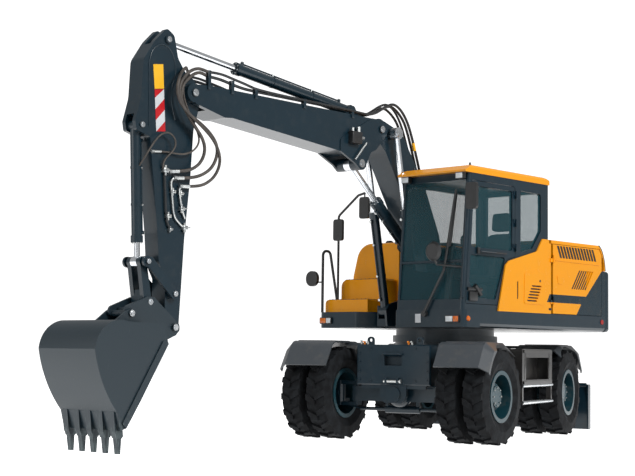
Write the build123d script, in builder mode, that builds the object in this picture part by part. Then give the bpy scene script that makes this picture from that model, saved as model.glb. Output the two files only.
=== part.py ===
from build123d import *
import math
import os

# A 14 t wheeled excavator: four-wheel-drive undercarriage on twin tyres, dozer
# blade behind, and an upper structure that slews, with a two-piece boom, an arm
# and a bucket on a quick coupler.  Millimetres.  +X is the undercarriage's
# forward, +Y its left, +Z up; the origin is on the floor, under the slew axis.
# The upper structure is modelled straight ahead and turned by swing_rest last.

os.makedirs("parts", exist_ok=True)

# ---------------------------------------------------------------- general fits
run_gap = 0.3            # clearance of a pin in its bore and of faces that turn
seam_gap = 6.0           # gap round a door or cover that opens
swing_rest = -17.0       # degrees, the upper structure's heading at rest
steer_rest = -6.0        # degrees, the front wheels' heading at rest

# ---------------------------------------------------------------- undercarriage
wheelbase = 2600.0
front_axle_x = 1430.0
tyre_diameter = 1055.0
tyre_width = 278.0
tyre_tread_width = 236.0
twin_spacing = 328.0
outer_tyre_y = 1111.0
rim_seat_diameter = 524.0
rim_width = 230.0
rim_wall = 20.0
rim_lip = 24.0
hub_radius = 150.0
hub_cap_radius = 118.0
kingpin_y = 740.0
lug_height = 27.0
tyre_sides = 17
axle_z = tyre_diameter / 2
rear_axle_x = front_axle_x - wheelbase
axle_half_height = 85.0
axle_half_depth = 75.0
axle_arch_radius = 190.0
chassis_half_width = 360.0
chassis_bottom = axle_z + 112.5
chassis_top = chassis_bottom + 445.0
front_box_x = front_axle_x + 220.0
front_box_half_width = 450.0
front_box_bottom = axle_z + 62.5
fender_top = tyre_diameter + 65.0
fender_plate = 14.0
fender_reach = 640.0
fender_inner_y = 640.0
fender_outer_y = 1250.0
slew_ring_radius = 640.0
slew_ring_top = chassis_top + 125.0
blade_half_width = 1245.0
blade_bottom = 25.0
blade_height = 590.0
blade_pivot_x = rear_axle_x - 310.0
blade_pivot_z = 480.0
blade_arm_y = 330.0
blade_arm_width = 90.0
blade_face_x = rear_axle_x - 950.0
blade_ram_y = 150.0
blade_ram_base = (rear_axle_x - 405.0, 880.0)
blade_ram_rod = (rear_axle_x - 840.0, 560.0)

# ---------------------------------------------------------------- upper structure
deck_bottom = slew_ring_top + 80.0
deck_top = deck_bottom + 195.0
side_y = 1240.0
tail_x = -1690.0
tail_reach = -2060.0
right_front_x = 970.0
cab_front_x = 1270.0
cab_front_top_x = 1150.0
cab_rear_x = -420.0
cab_inner_y = 262.0
cab_outer_y = 1222.0
cab_roof_z = 3030.0
cab_wall = 45.0
roof_top_z = 3120.0
glass_thickness = 8.0
door_rear_x = 262.0
door_bottom_z = 1550.0
door_top_z = 2950.0
door_front_margin = 40.0
door_hinge_y = 1240.0
service_hinge = (-496.0, 1256.0)
hinge_radius = 13.0
hinge_length = 45.0
body_top_z = 2360.0
tail_low_z = 2056.0
body_wall = 30.0
bay_front_x = -490.0

# ---------------------------------------------------------------- boom and arm
boom_y = -60.0
lower_boom_width = 300.0
upper_boom_width = 340.0
arm_width = 200.0
foot = (250.0, 1730.0)
knuckle = (1390.0, 3590.0)
boom_ram_base = (790.0, 1500.0)
boom_ram_rod = (1190.0, 3560.0)
adjust_ram_base = (700.0, 2275.0)
adjust_ram_rod = (1730.0, 3155.0)
arm_pivot = (4320.0, 3600.0)
arm_ram_base = (1800.0, 3775.0)
arm_ram_rod = (4630.0, 4105.0)
bucket_ram_base = (4950.0, 3200.0)
rocker_end = (4885.0, 1852.0)
rocker_pivot = (4520.0, 1548.0)
link_end = (4815.0, 1458.0)
arm_tip = (4500.0, 1215.0)
coupler_front_pin = (4690.0, 1105.0)
coupler_rear_pin = (5078.0, 1338.0)
pin_radius = 35.0
cheek_thickness = 30.0
boom_ram_y = 238.0
ram_eye_width = 110.0
bucket_half_width = 430.0
bucket_plate = 18.0


def write(piece, label, heading=0.0, pivot=(0.0, 0.0)):
    """Turn a finished piece about an upright axis, label it and write its STEP."""
    upright = Axis((pivot[0], pivot[1], 0), (0, 0, 1))
    placed = piece.part.rotate(upright, heading) if heading else piece.part
    placed.label = label
    export_step(placed, f"parts/{label}.step")


def write_upper(piece, label):
    """Write a piece of the upper structure at its rest heading."""
    write(piece, label, swing_rest)


def closed_line(outline, corner):
    """A closed outline, its corners rounded to one radius or to one for each point."""
    if corner:
        FilletPolyline(*outline, radius=corner, close=True)
    else:
        Polyline(*outline, close=True)


def slab(outline, y_low, y_high, mode=Mode.ADD, corner=0.0):
    """Extrude an upright outline of (x, z) points from y_low to y_high."""
    with BuildSketch(Plane.XZ.offset(-(y_low + y_high) / 2)) as face:
        with BuildLine():
            closed_line(outline, corner)
        make_face()
    extrude(face.sketch, amount=(y_high - y_low) / 2, both=True, mode=mode)


def cross_slab(outline, x_low, x_high, mode=Mode.ADD, corner=0.0):
    """Extrude an outline of (y, z) points from x_low to x_high."""
    with BuildSketch(Plane.YZ.offset((x_low + x_high) / 2)) as face:
        with BuildLine():
            closed_line(outline, corner)
        make_face()
    extrude(face.sketch, amount=(x_high - x_low) / 2, both=True, mode=mode)


def deck(outline, z_low, z_high, mode=Mode.ADD, corner=0.0):
    """Extrude a plan outline of (x, y) points from z_low to z_high."""
    with BuildSketch(Plane.XY.offset(z_low)) as face:
        with BuildLine():
            closed_line(outline, corner)
        make_face()
    extrude(face.sketch, amount=z_high - z_low, mode=mode)


def block(low, high, mode=Mode.ADD):
    """A box between two opposite corners."""
    middle = [(a + b) / 2 for a, b in zip(low, high)]
    size = [b - a for a, b in zip(low, high)]
    with Locations(tuple(middle)):
        Box(*size, mode=mode)


def pin(centre, radius, y_low, y_high, mode=Mode.ADD):
    """A round bar or boss across the machine, at an (x, z) centre."""
    with Locations(Location((centre[0], (y_low + y_high) / 2, centre[1]), (90, 0, 0))):
        Cylinder(radius, y_high - y_low, mode=mode)


def bar(start, end, radius, mode=Mode.ADD):
    """A round bar between two points in space."""
    along = Vector(*end) - Vector(*start)
    with Locations(Plane(origin=start, z_dir=along)):
        Cylinder(radius, along.length, align=(Align.CENTER, Align.CENTER, Align.MIN), mode=mode)


def handrail(points, radius, bend):
    """A round tube bent round the corners of a path."""
    with BuildLine() as path:
        FilletPolyline(*points, radius=bend)
    with BuildSketch(Plane(origin=path.line @ 0, z_dir=path.line % 0)) as section:
        Circle(radius)
    sweep(section.sketch, path=path.line)


def both_sides(y_low, y_high):
    """The same stretch of y on the left and on the right of a middle plane."""
    return ((y_low, y_high), (-y_high, -y_low))


def hinge_half(centre, z, leaf_x, seat_y, lower):
    """One half of an upright leaf hinge: its barrel above or below z, and its leaf."""
    low, high = (z - hinge_length, z - run_gap / 2) if lower else (z + run_gap / 2, z + hinge_length)
    bar((centre[0], centre[1], low), (centre[0], centre[1], high), hinge_radius)
    ends = sorted((centre[0], leaf_x))
    block((ends[0], seat_y, low), (ends[1], seat_y + hinge_radius, high))


# ================================================================= UNDERCARRIAGE
inner_tyre_y = outer_tyre_y - twin_spacing
axle_stations = (("front", front_axle_x), ("rear", rear_axle_x))
sides = (("left", 1), ("right", -1))

# ---- chassis: a welded box, waisted beside the steered wheels
with BuildPart() as chassis:
    waist_x = 700.0
    deck([(rear_axle_x - 330, -chassis_half_width), (front_box_x - 400, -chassis_half_width),
          (front_box_x - 400, chassis_half_width), (rear_axle_x - 330, chassis_half_width)],
         chassis_bottom, chassis_top)
    deck([(-waist_x, -560), (waist_x, -560), (waist_x, 560), (-waist_x, 560)],
         chassis_top - 230, chassis_top)
    with Locations((0, 0, chassis_top)):
        Cylinder(slew_ring_radius - 30, 45, align=(Align.CENTER, Align.CENTER, Align.MIN))
    bar((rear_axle_x - 331, 0, axle_z), (rear_axle_x + 245, 0, axle_z), axle_arch_radius, Mode.SUBTRACT)
    for low, high in both_sides(215, 320):
        block((rear_axle_x - axle_half_depth, low, axle_z + axle_half_height),
              (rear_axle_x + axle_half_depth, high, chassis_bottom))
    for y in (-blade_arm_y, blade_arm_y):
        slab([(blade_pivot_x + 90, chassis_bottom + 40), (blade_pivot_x + 90, blade_pivot_z - 70),
              (blade_pivot_x - 60, blade_pivot_z - 70), (blade_pivot_x - 60, blade_pivot_z + 60),
              (blade_pivot_x - 20, chassis_bottom + 40)], y - 20, y + 20)
        pin((blade_pivot_x, blade_pivot_z), pin_radius - run_gap, y - blade_arm_width / 2 - 26,
            y + blade_arm_width / 2 + 26)
    for y in (-blade_ram_y, blade_ram_y):
        for low, high in both_sides(44 + run_gap, 62):
            slab([(rear_axle_x - 330, blade_ram_base[1] - 100), (blade_ram_base[0] - 40, blade_ram_base[1] - 40),
                  (blade_ram_base[0] - 40, blade_ram_base[1] + 40),
                  (rear_axle_x - 330, blade_ram_base[1] + 100)], y + low, y + high)
        pin(blade_ram_base, 25 - run_gap, y - 62, y + 62)
write(chassis, "chassis_frame")

# ---- front box: the bolted cross box ahead of the front axle, with two tie-down eyes
tie_eye_x = front_box_x - 70
tie_eye_y = 300.0
tie_eye_z = chassis_top + 50
with BuildPart() as front_box:
    block((front_box_x - 400, -front_box_half_width, chassis_bottom - 10),
          (front_box_x, front_box_half_width, chassis_top))
    chamfer(front_box.faces().sort_by(Axis.X)[-1].edges(), 14)
    bar((front_box_x - 401, 0, axle_z), (front_box_x - 50, 0, axle_z), axle_arch_radius, Mode.SUBTRACT)
    block((front_box_x - 50, -front_box_half_width + 60, front_box_bottom),
          (front_box_x - 20, front_box_half_width - 60, chassis_bottom))
    pocket_z = chassis_top - 115
    block((front_box_x - 70, -105, pocket_z - 120), (front_box_x + 1, 105, pocket_z), Mode.SUBTRACT)
    slab([(front_box_x - 20, pocket_z + 20), (front_box_x + 45, pocket_z + 20), (front_box_x + 45, pocket_z + 6),
          (front_box_x - 20, pocket_z - 20)], -120, 120, corner=4)
    cross_slab([(-160, chassis_bottom), (-160, axle_z - 20), (-105, axle_z - 95), (105, axle_z - 95),
                (160, axle_z - 20), (160, chassis_bottom)], front_box_x - 64, front_box_x - 8, corner=12)
    bar((front_box_x - 9, 0, axle_z), (front_box_x + 8, 0, axle_z), 88)
    for y in (-70, 70):
        block((front_box_x - 2, y - 12, chassis_bottom + 6), (front_box_x + 50, y + 12, chassis_bottom + 70))
    for y in (-tie_eye_y, tie_eye_y):
        eye_low, eye_high = tie_eye_x - 15, tie_eye_x + 15
        block((eye_low, y - 40, chassis_top), (eye_high, y + 40, tie_eye_z))
        bar((eye_low, y, tie_eye_z), (eye_high, y, tie_eye_z), 40)
        bar((eye_low - 1, y, tie_eye_z), (eye_high + 1, y, tie_eye_z), 20, Mode.SUBTRACT)
write(front_box, "front_box")

# ---- mudguards: bent plates over each pair of twin tyres, on brackets
bevel = 95.0
skirt = 190.0
arch_clear = 575.0
with BuildPart() as fenders:
    for station, axle_x in axle_stations:
        rise = 1 if station == "front" else -1
        route = [(axle_x - rise * 400, fender_top - 70), (axle_x - rise * 180, fender_top),
                 (axle_x + rise * 440, fender_top), (axle_x + rise * fender_reach, 850)]
        route.sort()
        for side, hand in sides:
            with BuildLine() as run:
                FilletPolyline(*[(x, 0, z) for x, z in route], radius=160)
            section = [(fender_inner_y, 0), (fender_outer_y - bevel, 0), (fender_outer_y, -bevel),
                       (fender_outer_y, -skirt), (fender_outer_y - 12, -skirt),
                       (fender_outer_y - 12, -bevel - 6), (fender_outer_y - bevel - 6, -fender_plate),
                       (fender_inner_y, -fender_plate)]
            with BuildSketch(Plane(origin=run.line @ 0, x_dir=(0, 1, 0), z_dir=run.line % 0)) as guard:
                with BuildLine():
                    Polyline(*[(hand * y, z) for y, z in section], close=True)
                make_face()
            sweep(guard.sketch, path=run.line)
            skirt_ends = sorted((hand * (fender_outer_y - 90), hand * (fender_outer_y + 1)))
            pin((axle_x, axle_z), arch_clear, *skirt_ends, Mode.SUBTRACT)
            pad_ends = sorted((hand * (fender_inner_y + 50), hand * (fender_outer_y - bevel - 40)))
            pad_x = sorted((axle_x - rise * 120, axle_x + rise * 370))
            block((pad_x[0], pad_ends[0], fender_top - 1), (pad_x[1], pad_ends[1], fender_top + 7))
            carrier = front_box_half_width if station == "front" else chassis_half_width
            reach = sorted((hand * carrier, hand * (fender_inner_y + 60)))
            block((axle_x - rise * 60 - 40, reach[0], fender_top - fender_plate - 34),
                  (axle_x - rise * 60 + 40, reach[1], fender_top - fender_plate))
write(fenders, "fenders")

# ---- side boxes: an open-fronted locker and two hanging steps between the wheels
with BuildPart() as side_boxes:
    step_low_x, step_high_x = rear_axle_x + 610.0, front_axle_x - 790.0
    box_bottom, box_top = chassis_bottom, chassis_bottom + 420.0
    for side, hand in sides:
        y_in, y_out = 560.0, 1190.0
        ends = sorted((hand * y_in, hand * y_out))
        slab([(step_low_x, box_bottom), (step_high_x, box_bottom), (step_high_x, box_top),
              (step_low_x, box_top)], *ends, corner=28)
        mouth = sorted((hand * (y_out - 160), hand * (y_out + 1)))
        slab([(step_low_x + 90, box_bottom + 60), (step_high_x - 90, box_bottom + 60),
              (step_high_x - 90, box_top - 100), (step_low_x + 90, box_top - 100)], *mouth,
             Mode.SUBTRACT, 18)
        lip = sorted((hand * (y_out - 6), hand * (y_out + 14)))
        for low, high in ((box_bottom + 8, box_bottom + 46), (box_top - 46, box_top - 14)):
            slab([(step_low_x + 40, low), (step_high_x - 40, low), (step_high_x - 40, high),
                  (step_low_x + 40, high)], *lip, corner=9)
        rail = sorted((hand * (y_out - 60), hand * y_out))
        step_z = axle_z - 107.5
        block((step_low_x, rail[0], step_z), (step_high_x, rail[1], step_z + 40))
        for x in (step_low_x, step_high_x - 50):
            block((x, rail[0], step_z), (x + 50, rail[1], box_bottom + 40))
write(side_boxes, "side_boxes")

# ---- slew ring: the toothed race bolted on the chassis
with BuildPart() as slew_ring:
    with Locations((0, 0, chassis_top + 45)):
        Cylinder(slew_ring_radius, slew_ring_top - chassis_top - 45,
                 align=(Align.CENTER, Align.CENTER, Align.MIN))
        Cylinder(slew_ring_radius - 90, slew_ring_top - chassis_top - 45,
                 align=(Align.CENTER, Align.CENTER, Align.MIN), mode=Mode.SUBTRACT)
write(slew_ring, "slew_ring")

# ---- front axle: beam, swinging on its middle pin, with forks for the knuckles
fork_half_height = 120.0
fork_arm = 40.0
with BuildPart() as front_axle:
    block((front_axle_x - axle_half_depth, -560, axle_z - axle_half_height),
          (front_axle_x + axle_half_depth, 560, axle_z + axle_half_height))
    with Locations((front_axle_x, 0, axle_z)):
        Sphere(150)
    bar((front_axle_x - 230, 0, axle_z), (front_axle_x, 0, axle_z), 80)
    bar((front_axle_x, 0, axle_z), (front_box_x - 64, 0, axle_z), 70)
    for side, hand in sides:
        for level in (-1, 1):
            z = axle_z + level * fork_half_height
            ends = sorted((hand * 520, hand * kingpin_y))
            block((front_axle_x - 50, ends[0], z - fork_arm / 2), (front_axle_x + 50, ends[1], z + fork_arm / 2))
            with Locations((front_axle_x, hand * kingpin_y, z)):
                Cylinder(55, fork_arm)
        ends = sorted((hand * 500, hand * 560))
        block((front_axle_x - 50, ends[0], axle_z - fork_half_height - fork_arm / 2),
              (front_axle_x + 50, ends[1], axle_z + fork_half_height + fork_arm / 2))
write(front_axle, "front_axle")

# ---- knuckles: upright swivels that carry the steered hubs
knuckle_half_height = fork_half_height - fork_arm / 2 - run_gap
hub_inner_y = 830.0
for side, hand in sides:
    with BuildPart() as knuckle_block:
        with Locations((front_axle_x, hand * kingpin_y, axle_z)):
            Cylinder(55, 2 * knuckle_half_height)
        pin((front_axle_x, axle_z), 62, *sorted((hand * kingpin_y, hand * (hub_inner_y + 60))))
        arm_ends = sorted((hand * (kingpin_y - 20), hand * (kingpin_y + 20)))
        block((front_axle_x - 170, arm_ends[0], axle_z - knuckle_half_height),
              (front_axle_x - 30, arm_ends[1], axle_z - knuckle_half_height + 36))
    write(knuckle_block, f"knuckle_{side}", steer_rest, (front_axle_x, hand * kingpin_y))

# ---- steering ram: a double-ended cylinder on the back of the front axle
with BuildPart() as steering_ram:
    ram_x = front_axle_x - 92
    ram_z = axle_z - 176
    bar((ram_x, -210, ram_z), (ram_x, 210, ram_z), 44)
    bar((ram_x, -530, ram_z), (ram_x, 530, ram_z), 20)
    for side, hand in sides:
        bar((ram_x, hand * 520, ram_z), (ram_x + 4, hand * 705, axle_z - 122), 15)
        with Locations((ram_x, hand * 525, ram_z), (ram_x + 4, hand * 705, axle_z - 122)):
            Sphere(21)
    for low, high in both_sides(170, 205):
        block((ram_x - 20, low, ram_z), (ram_x + 30, high, axle_z - axle_half_height))
write(steering_ram, "steering_ram")

# ---- rear axle: rigid beam with bolted hub carriers
with BuildPart() as rear_axle:
    block((rear_axle_x - axle_half_depth, -640, axle_z - axle_half_height),
          (rear_axle_x + axle_half_depth, 640, axle_z + axle_half_height))
    with Locations((rear_axle_x, 0, axle_z)):
        Sphere(170)
        Cylinder(100, 460, rotation=(0, 90, 0))
    pin((rear_axle_x, axle_z), 62, -hub_inner_y - 60, hub_inner_y + 60)
write(rear_axle, "rear_axle")

# ---- drive line: the gearbox under the slew ring and a shaft to each axle
with BuildPart() as drive_line:
    block((-170, -150, axle_z - 90), (190, 150, chassis_bottom))
    bar((rear_axle_x + 230, 0, axle_z), (front_axle_x - 230, 0, axle_z), 38)
    for x in (rear_axle_x + 230, -200, 190, front_axle_x - 250):
        bar((x, 0, axle_z), (x + 20, 0, axle_z), 70)
write(drive_line, "drive_line")

# ---- tyre: a ring of flat-faced sectors, each with two lugs that lean into a V
rim_radius = rim_seat_diameter / 2
carcass = axle_z - lug_height
half_tread = tyre_tread_width / 2 - 3
half_tyre = tyre_width / 2
sector_half = math.tan(math.pi / tyre_sides)
lug_rows = (  # across the tread from, to; along it where the lug starts inside, outside; its length
    (3, half_tread, -34, -92, 66),
    (-3, -half_tread, 22, -36, 66),
)
with BuildPart() as tyre:
    profile = [(rim_radius + run_gap, -93), (rim_radius + run_gap, 93), (380, half_tyre),
               (carcass, half_tread), (carcass, -half_tread), (380, -half_tyre)]
    with BuildSketch(Plane.XZ) as sector_face:
        with BuildLine():
            Polyline(*profile, close=True)
        make_face()
    extrude(sector_face.sketch, amount=carcass, both=True)
    for near, far, start_in, start_out, length in lug_rows:
        with BuildSketch(Plane.YZ.offset(carcass - 40)) as lug_face:
            with BuildLine():
                Polyline((start_in, near), (start_in + length, near), (start_out + length, far),
                         (start_out, far), close=True)
            make_face()
        extrude(lug_face.sketch, amount=40 + lug_height)
    with BuildSketch(Plane.XY.offset(-half_tyre - 1)) as wedge:
        with BuildLine():
            Polyline((0, 0), (axle_z + 60, -(axle_z + 60) * sector_half),
                     (axle_z + 60, (axle_z + 60) * sector_half), close=True)
        make_face()
    extrude(wedge.sketch, amount=tyre_width + 2, mode=Mode.INTERSECT)
sector = tyre.part
with BuildPart() as tyre_ring:
    with PolarLocations(0, tyre_sides):
        add(sector)

# ---- wheels: one hub and twin rims a side, then the two tyres as their own node
rim_start = inner_tyre_y - rim_width / 2
rim_end = outer_tyre_y + rim_width / 2
disc_y = (inner_tyre_y + outer_tyre_y) / 2
for station, axle_x in axle_stations:
    for side, hand in sides:
        def across(low, high):
            return sorted((hand * low, hand * high))

        centre = (axle_x, axle_z)
        with BuildPart() as rims:
            pin(centre, rim_radius, *across(rim_start, rim_end))
            for lip_y in (rim_start, inner_tyre_y + rim_width / 2 - 12,
                          outer_tyre_y - rim_width / 2, rim_end - 12):
                pin(centre, rim_radius + rim_lip, *across(lip_y, lip_y + 12))
            pin(centre, rim_radius - rim_wall, *across(rim_start - 1, rim_end + 1), Mode.SUBTRACT)
            pin(centre, rim_radius - rim_wall / 2, *across(disc_y - 14, disc_y + 14))
            pin(centre, hub_radius + 22, *across(disc_y - 30, disc_y + 36))
            pin(centre, hub_radius, *across(hub_inner_y, disc_y + 190))
            pin(centre, hub_cap_radius, *across(disc_y + 189, disc_y + 222))
            pin(centre, 62 + run_gap, *across(hub_inner_y - 1, hub_inner_y + 60 + run_gap), Mode.SUBTRACT)
        with BuildPart() as tyres:
            for tyre_y in (inner_tyre_y, outer_tyre_y):
                with Locations(Plane(origin=(axle_x, hand * tyre_y, axle_z), x_dir=(0, 0, -1),
                                     z_dir=(0, 1, 0))):
                    add(tyre_ring.part)
        turned = steer_rest if station == "front" else 0.0
        swivel = (front_axle_x, hand * kingpin_y)
        write(rims, f"rims_{station}_{side}", turned, swivel)
        write(tyres, f"tyres_{station}_{side}", turned, swivel)

# ---- dozer blade: curved plate, back ribs and two lift arms
with BuildPart() as blade:
    top_z = blade_bottom + blade_height
    mid_z = (blade_bottom + top_z) / 2
    with BuildSketch(Plane.XZ) as curved_plate:
        with BuildLine():
            ThreePointArc((blade_face_x - 48, blade_bottom), (blade_face_x + 22, mid_z), (blade_face_x - 48, top_z))
            Line((blade_face_x - 48, top_z), (blade_face_x + 4, top_z))
            ThreePointArc((blade_face_x + 4, top_z), (blade_face_x + 60, mid_z), (blade_face_x + 4, blade_bottom))
            Line((blade_face_x + 4, blade_bottom), (blade_face_x - 48, blade_bottom))
        make_face()
    extrude(curved_plate.sketch, amount=blade_half_width, both=True)
    bar((blade_face_x + 10, -blade_half_width + 40, top_z - 10), (blade_face_x + 10, blade_half_width - 40, top_z - 10), 28)
    for low, high in both_sides(blade_half_width - 20, blade_half_width):
        slab([(blade_face_x - 50, blade_bottom), (blade_face_x + 66, blade_bottom), (blade_face_x + 66, top_z),
              (blade_face_x - 50, top_z)], low, high, corner=24)
    for low, high in both_sides(620, 640):
        slab([(blade_face_x + 20, 120), (blade_face_x + 130, 230), (blade_face_x + 130, 420),
              (blade_face_x + 20, 540)], low, high)
    for y in (-blade_arm_y, blade_arm_y):
        for low, high in both_sides(20 + run_gap, blade_arm_width / 2):
            slab([(blade_face_x + 40, 130), (blade_face_x + 40, 480),
                  (blade_pivot_x - 60, blade_pivot_z + 60), (blade_pivot_x + 50, blade_pivot_z + 50),
                  (blade_pivot_x + 50, blade_pivot_z - 50), (blade_pivot_x - 60, blade_pivot_z - 70)],
                 y + low, y + high)
        slab([(blade_face_x + 40, 130), (blade_face_x + 40, 480),
              (blade_pivot_x - 330, blade_pivot_z + 10), (blade_pivot_x - 330, blade_pivot_z - 150)],
             y - 24, y + 24)
        pin((blade_pivot_x, blade_pivot_z), pin_radius, y - 60, y + 60, Mode.SUBTRACT)
    for y in (-blade_ram_y, blade_ram_y):
        for low, high in both_sides(30 + run_gap, 50):
            slab([(blade_face_x + 50, 440), (blade_ram_rod[0] + 20, blade_ram_rod[1] - 50),
                  (blade_ram_rod[0] + 40, blade_ram_rod[1] + 30), (blade_face_x + 30, top_z - 30)],
                 y + low, y + high)
write(blade, "dozer_blade")


def ram(base, rod_pin, offsets, barrel_radius, rod_radius, barrel_length, shortest,
        eye_radius, base_width, rod_width, pin_size):
    """Barrels and rods of like hydraulic rams lying in upright planes.

    base and rod_pin are (x, z) pin centres, offsets the y of each ram, and
    shortest the pin-to-pin length when the rod is fully in.
    """
    reach = Vector(rod_pin[0] - base[0], 0, rod_pin[1] - base[1])
    along = reach.normalized()
    gland_length = 70.0
    bottom_cap = eye_radius + 30.0
    with BuildPart() as barrels:
        for y in offsets:
            start = Vector(base[0], y, base[1])
            bar(start + along * (eye_radius * 0.6), start + along * barrel_length, barrel_radius)
            bar(start + along * (barrel_length - gland_length), start + along * barrel_length,
                barrel_radius + 9)
            pin(base, eye_radius, y - base_width / 2, y + base_width / 2)
            pin(base, pin_size, y - base_width, y + base_width, Mode.SUBTRACT)
            bar(start + along * bottom_cap, start + along * (barrel_length + 1),
                rod_radius + run_gap, Mode.SUBTRACT)
    with BuildPart() as rods:
        for y in offsets:
            start = Vector(base[0], y, base[1])
            rod_end = start + reach
            inside = reach.length - (shortest - bottom_cap - 10)
            bar(start + along * inside, rod_end, rod_radius)
            pin(rod_pin, eye_radius, y - rod_width / 2, y + rod_width / 2)
    return barrels, rods


blade_barrels, blade_rods = ram(blade_ram_base, blade_ram_rod, (-blade_ram_y, blade_ram_y),
                                42, 22, 310, 372, 38, 88, 60, 25)
write(blade_barrels, "blade_ram_barrels")
write(blade_rods, "blade_ram_rods")

# =============================================================== UPPER STRUCTURE
half_lower = lower_boom_width / 2
cheek_in = half_lower + run_gap
cheek_out = half_lower + cheek_thickness
ram_low = boom_ram_y - ram_eye_width / 2
ram_high = boom_ram_y + ram_eye_width / 2

# ---- turret frame: deck plate notched for the boom rams, and the boom's foot brackets
notch_x = boom_ram_base[0] - 130
with BuildPart() as turret:
    deck([(tail_x, -side_y), (right_front_x, -side_y), (right_front_x, -600), (notch_x + 60, -400),
          (notch_x, -400), (notch_x, cab_inner_y - 8), (cab_front_x, cab_inner_y - 8),
          (cab_front_x, side_y), (tail_x, side_y)], deck_bottom, deck_top,
         corner=(0, 110, 60, 0, 20, 0, 20, 60, 0))
    for hand in (-1, 1):
        cross_slab([(hand * (side_y + 1), deck_bottom - 1), (hand * (side_y - 52), deck_bottom - 1),
                    (hand * (side_y - 18), deck_bottom + 15), (hand * (side_y + 1), deck_bottom + 48)],
                   tail_x - 1, right_front_x + 1, Mode.SUBTRACT)
    with Locations((0, 0, slew_ring_top + run_gap)):
        Cylinder(slew_ring_radius - 40, deck_bottom - slew_ring_top - run_gap,
                 align=(Align.CENTER, Align.CENTER, Align.MIN))
    for low, high in both_sides(cheek_in, cheek_out):
        slab([(foot[0] - 620, deck_top), (foot[0] - 180, foot[1] + 60), (foot[0] - 60, foot[1] + 130),
              (foot[0] + 60, foot[1] + 130), (foot[0] + 180, foot[1] - 40),
              (boom_ram_base[0] + 30, boom_ram_base[1] + 75), (boom_ram_base[0] + 90, boom_ram_base[1]),
              (boom_ram_base[0] + 60, deck_bottom + 20), (foot[0] - 620, deck_bottom + 20)],
             boom_y + low, boom_y + high)
    for low, high in both_sides(ram_high + run_gap, ram_high + 20):
        slab([(boom_ram_base[0] - 120, deck_bottom + 20), (boom_ram_base[0] - 60, boom_ram_base[1] + 60),
              (boom_ram_base[0] + 60, boom_ram_base[1] + 60), (boom_ram_base[0] + 60, deck_bottom + 20)],
             boom_y + low, boom_y + high)
    for low, high in both_sides(ram_low - 10, ram_high + 20):
        pin(boom_ram_base, pin_radius - run_gap, boom_y + low, boom_y + high)
        block((notch_x - 30, boom_y + low, deck_bottom + 20),
              (boom_ram_base[0] + 60, boom_y + high, boom_ram_base[1] - 100))
    pin(foot, pin_radius + 10 - run_gap, boom_y - cheek_out - 20, boom_y + cheek_out + 20)
write_upper(turret, "turret_frame")

# ---- counterweight: cast tail block with a bowed back and rounded edges
with BuildPart() as counterweight:
    with BuildSketch(Plane.XY.offset(deck_bottom)) as tail_plan:
        with BuildLine():
            left_end = (tail_x - run_gap, side_y)
            right_end = (tail_x - run_gap, -side_y)
            left_turn = (tail_x - 130, side_y - 60)
            right_turn = (tail_x - 130, -side_y + 60)
            ThreePointArc(left_end, (tail_x - 95, side_y - 14), left_turn)
            ThreePointArc(left_turn, (tail_reach, 0), right_turn)
            ThreePointArc(right_turn, (tail_x - 95, -side_y + 14), right_end)
            Line(right_end, left_end)
        make_face()
    extrude(tail_plan.sketch, amount=tail_low_z - deck_bottom)
    rims_of_casting = (counterweight.faces().sort_by(Axis.Z)[-1].edges()
                       + counterweight.faces().sort_by(Axis.Z)[0].edges())
    fillet(rims_of_casting.filter_by(GeomType.CIRCLE), 40)
    for y in (-700, 700):
        slab([(tail_x - 210, tail_low_z - 1), (tail_x - 110, tail_low_z - 1), (tail_x - 130, tail_low_z + 44),
              (tail_x - 190, tail_low_z + 44)], y - 9, y + 9, corner=(0, 0, 24, 24))
        pin((tail_x - 160, tail_low_z + 18), 13, y - 10, y + 10, Mode.SUBTRACT)
write_upper(counterweight, "counterweight")

# ---- cab: one hollow welded shell with its windows and the door's opening cut
cab_outline = [(cab_rear_x, deck_top), (cab_front_x, deck_top), (cab_front_top_x, cab_roof_z),
               (cab_rear_x, cab_roof_z)]


def cab_front_at(z):
    """Where the raked front of the cab is at a given height."""
    share = (z - deck_top) / (cab_roof_z - deck_top)
    return cab_front_x + (cab_front_top_x - cab_front_x) * share


def tail_curve(inset=0.0):
    """The three points of the arc that rounds the body's rear end, from the side."""
    return ((tail_x + 145 + inset * 0.3, body_top_z + 15 - inset), (tail_x + 48 + inset * 0.7, 2262 - inset * 0.7),
            (tail_x - inset * 0.0 + inset, tail_low_z))


def cut_tail(y_low, y_high, inset=0.0):
    """Trim a piece of the body outside the arc of its rear end."""
    start, middle, end = tail_curve(inset)
    with BuildSketch(Plane.XZ.offset(-(y_low + y_high) / 2)) as beyond:
        with BuildLine():
            ThreePointArc(start, middle, end)
            Polyline(end, (tail_x - 100, end[1]), (tail_x - 100, body_top_z + 80), (start[0], body_top_z + 80), start)
        make_face()
    extrude(beyond.sketch, amount=(y_high - y_low) / 2, both=True, mode=Mode.SUBTRACT)


def front_edge(z, inset):
    """A point of the cab's side that lies inset behind its raked front."""
    return cab_front_at(z) - inset, z


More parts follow.
